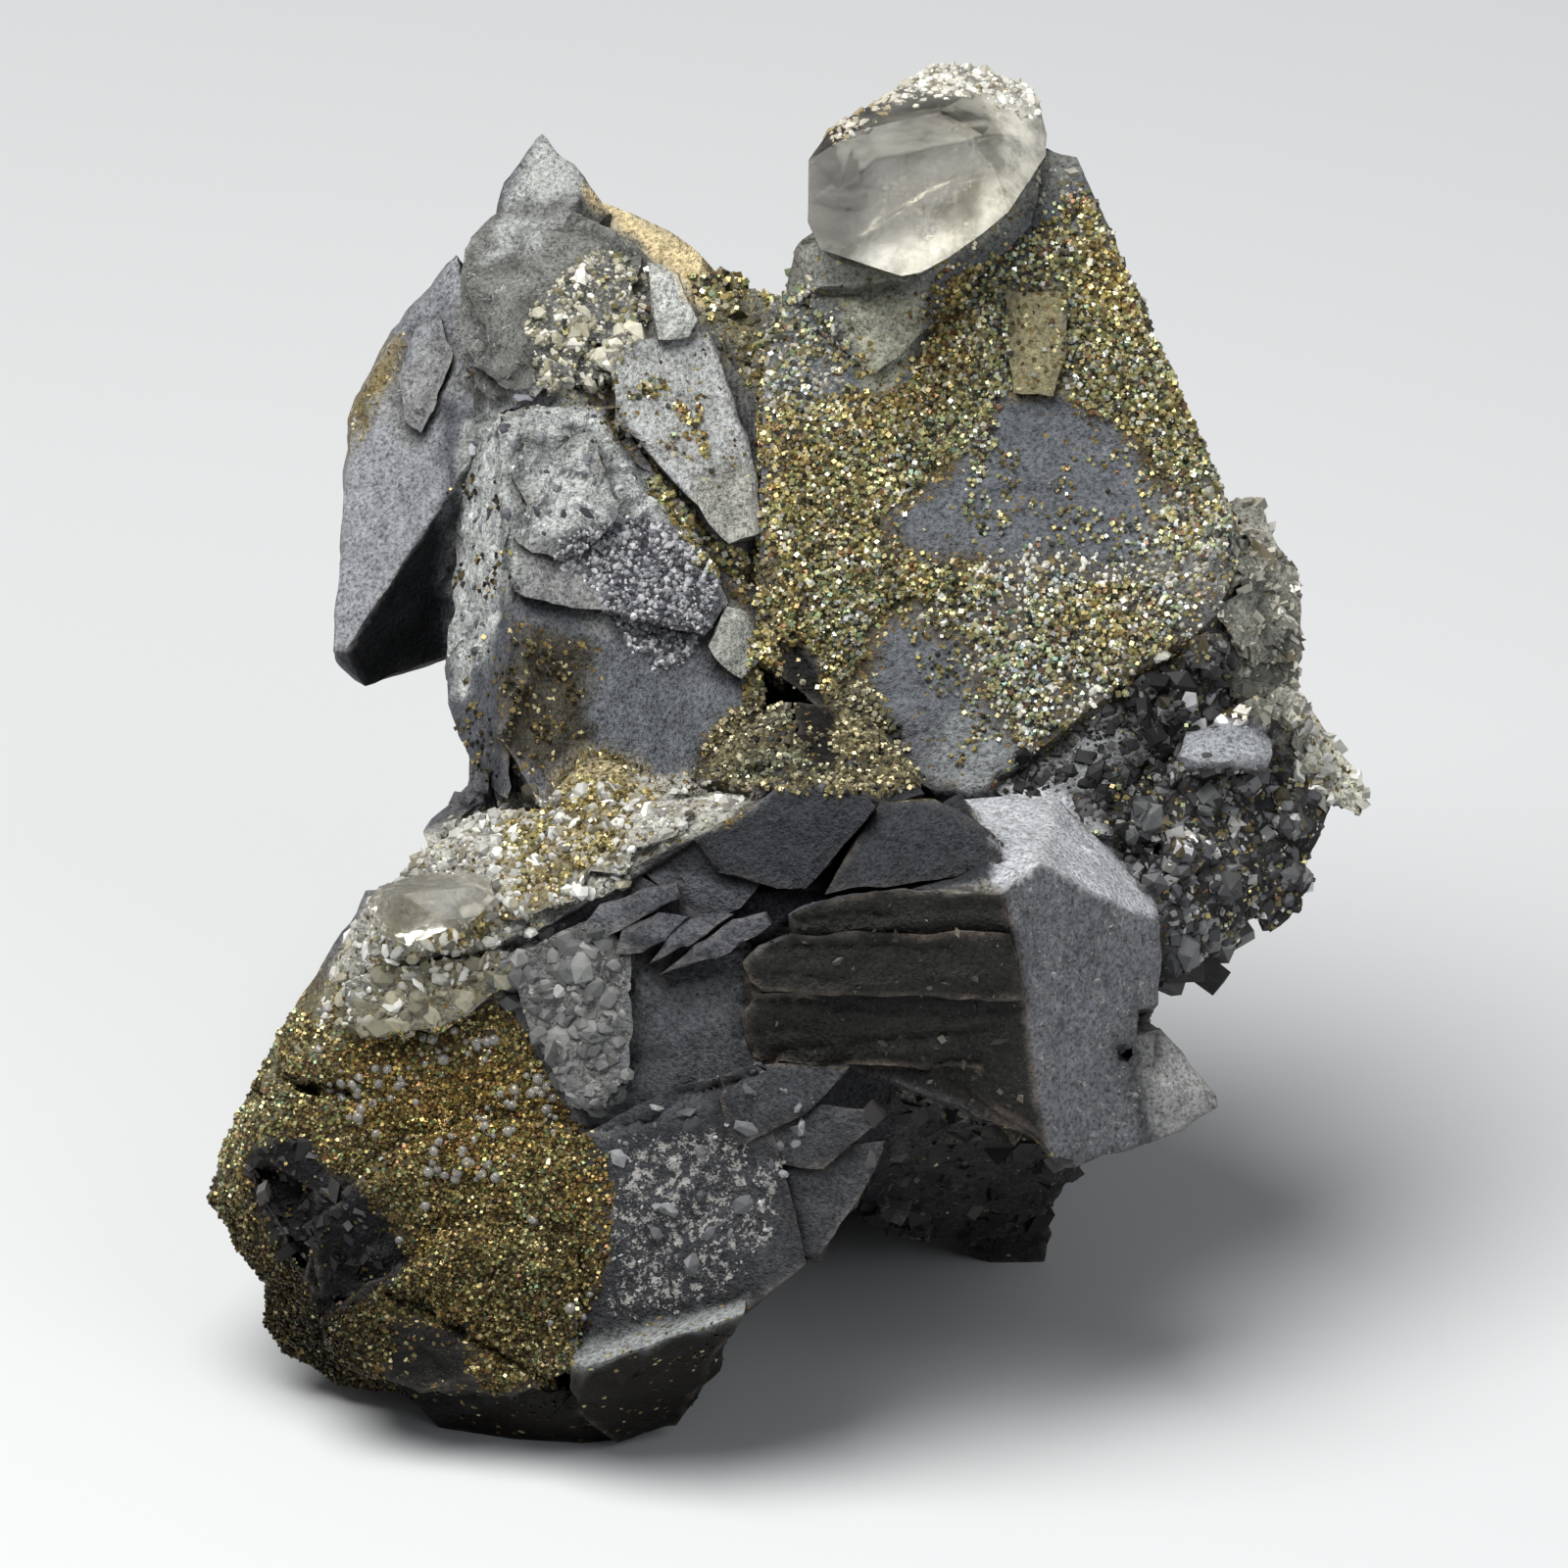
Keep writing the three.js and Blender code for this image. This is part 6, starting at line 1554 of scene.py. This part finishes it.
def makeClear(material):
    for node, name in clearNodes.items():
        piece = copyOfNode(node, name)
        bevel = piece.modifiers.new("wornEdges", "BEVEL")
        bevel.width = clearForm["bevel"]
        bevel.segments = 2
        bevel.limit_method = "ANGLE"
        bevel.angle_limit = math.radians(clearForm["bevelAngle"])
        selectOnly(piece)
        bpy.ops.object.modifier_apply(modifier="wornEdges")
        bpy.ops.object.mode_set(mode="EDIT")
        bpy.ops.mesh.select_all(action="SELECT")
        bpy.ops.mesh.quads_convert_to_tris(quad_method="SHORTEST_DIAGONAL", ngon_method="BEAUTY")
        bpy.ops.object.mode_set(mode="OBJECT")
        refine(piece, lambda middles, normals: np.full(len(middles), clearForm["edge"]))
        points, normals = pointsOf(piece.data), normalsOf(piece.data)
        uneven = rough(points, 2.6, 53, 3) + 0.5 * np.abs(rough(points * [1.0, 1.0, 0.6], 1.1, 54, 2))
        # painted brownish shade and white veils, partly painted light, as attributes
        for place, seed in (("murk", 55), ("milk", 57)):
            storeValue(piece.data, place, patch(points, place, 1.0, 0.8, 2.0, seed))
        movePoints(piece.data, points - normals * (clearForm["uneven"] * np.abs(uneven))[:, None])
        selectOnly(piece)
        bpy.ops.object.shade_smooth_by_angle(angle=math.radians(clearForm["sharp"]))
        finishPiece(piece, material, (node,))
        print(name, "done,", len(piece.data.polygons), "triangles")


def makeCrown(crystal, material):
    # pale grains on the perched crystal's upper edge
    chance = np.random.default_rng(520)

    def onTop(middles, ups):
        return insideBy("crown", middles) > -0.6

    def crowned(middles):
        edge = insideBy("crown", middles)
        edge = edge + 0.7 * rough(middles, 1.6, 79) + 0.3 * rough(middles, 0.7, 80)
        return smooth(-0.3, 0.8, edge)

    places, normals = spread(crystal.data, clearForm["crownDensity"], onTop, crowned, chance)
    sizes = clearForm["crownSizes"]
    size = sizes[0] + np.ptp(sizes) * chance.random(len(places)) ** 2.2
    tints = mixOf("crown", len(places), chance, 0.15)
    brown = (smooth(8, 4, places[:, 0]) * smooth(-0.4, 0.4, rough(places, 1.4, 56)))[:, None]
    tints = tints * (1 - brown) + brown * srgb(*clearForm["crownBrown"])
    places = places - normals * (clearForm["crownSink"] * size)[:, None]
    form = ("crownGrains", "pebble", places, normals, size, tints, chance)
    piece = grainsAt(*form, *clearForm["crownTurning"])
    finishPiece(piece, material)
    print("crown", len(places), "grains")


# Light, floor and camera
stage = {
    "floor": 30,  # metres across
    "key": {"place": (-160, 430, 300), "size": 520, "power": 5.6, "colour": (1.0, 0.99, 0.97)},
    "fill": {"place": (330, 120, 480), "size": 450, "power": 0.9, "colour": (0.95, 0.97, 1.0)},
    "lights": ("key", "fill"),
    "world": (0.5, 0.52, 0.55),
    "worldStrength": 0.3,
}


def makeStage():
    bpy.ops.object.select_all(action="DESELECT")
    bpy.ops.mesh.primitive_plane_add(size=stage["floor"], location=(0, 0, 0))
    floor = bpy.context.object
    floor.name = "floor"
    floor.data.materials.append(floorMaterial())
    middle = Vector(tuple(seenMiddle / 1000))
    for name in stage["lights"]:
        form = stage[name]  # place and size in mm, power in watts
        data = bpy.data.lights.new(name, "AREA")
        data.shape = "DISK"
        data.size = form["size"] / 1000
        data.energy = form["power"]
        data.color = form["colour"]
        light = bpy.data.objects.new(name, data)
        light.location = Vector(tuple(toModel([form["place"]])[0]))
        light.rotation_euler = (light.location - middle).to_track_quat("Z", "Y").to_euler()
        bpy.context.scene.collection.objects.link(light)
    world = bpy.data.worlds.new("softRoom")
    world.use_nodes = True
    back = world.node_tree.nodes["Background"]
    back.inputs[0].default_value = (*stage["world"], 1)
    back.inputs[1].default_value = stage["worldStrength"]
    bpy.context.scene.world = world
    data = bpy.data.cameras.new("camera")
    data.lens = data.sensor_width * view["distance"] / view["width"]
    data.clip_start = 0.1
    data.clip_end = 100
    camera = bpy.data.objects.new("camera", data)
    camera.location = middle + Vector(tuple(seenAxes[2])) * view["distance"] / 1000
    camera.rotation_euler = (math.radians(90 - view["lean"]), 0, 0)
    bpy.context.scene.collection.objects.link(camera)
    bpy.context.scene.camera = camera
    bpy.context.scene.view_settings.view_transform = "Standard"


makeStage()
print("stage done")
shapes = {kind: shapeOf(kind) for kind in ("cube", "rhomb", "octahedron", "bead", "pebble")}
calcite = makeCalcite()
print("calcite done")
pyriteGrains = grainMaterial("pyriteGrains", 0.55, 0.32)
makeCrusts(calcite, pyriteGrains)
makeDrifts(calcite, pyriteGrains)
paleGrains = grainMaterial("paleGrains", 0.0, 0.55)
makeGrains(calcite, paleGrains)
makeBlocks(calcite, paleGrains)
makeBeads(calcite, grainMaterial("clearBead", 0.0, 0.1, 0.8))
makeClear(clearMaterial())
makeCrown(bpy.data.objects["clearCrystal"], paleGrains)

made = [piece for piece in bpy.data.objects if piece.type == "MESH"]
made = [piece for piece in made if piece.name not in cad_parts]
sizes = sorted((len(piece.data.polygons), piece.name) for piece in made)
total = sum(size for size, name in sizes)
print(len(made), "new pieces,", total, "faces; the largest have", sizes[-4:])
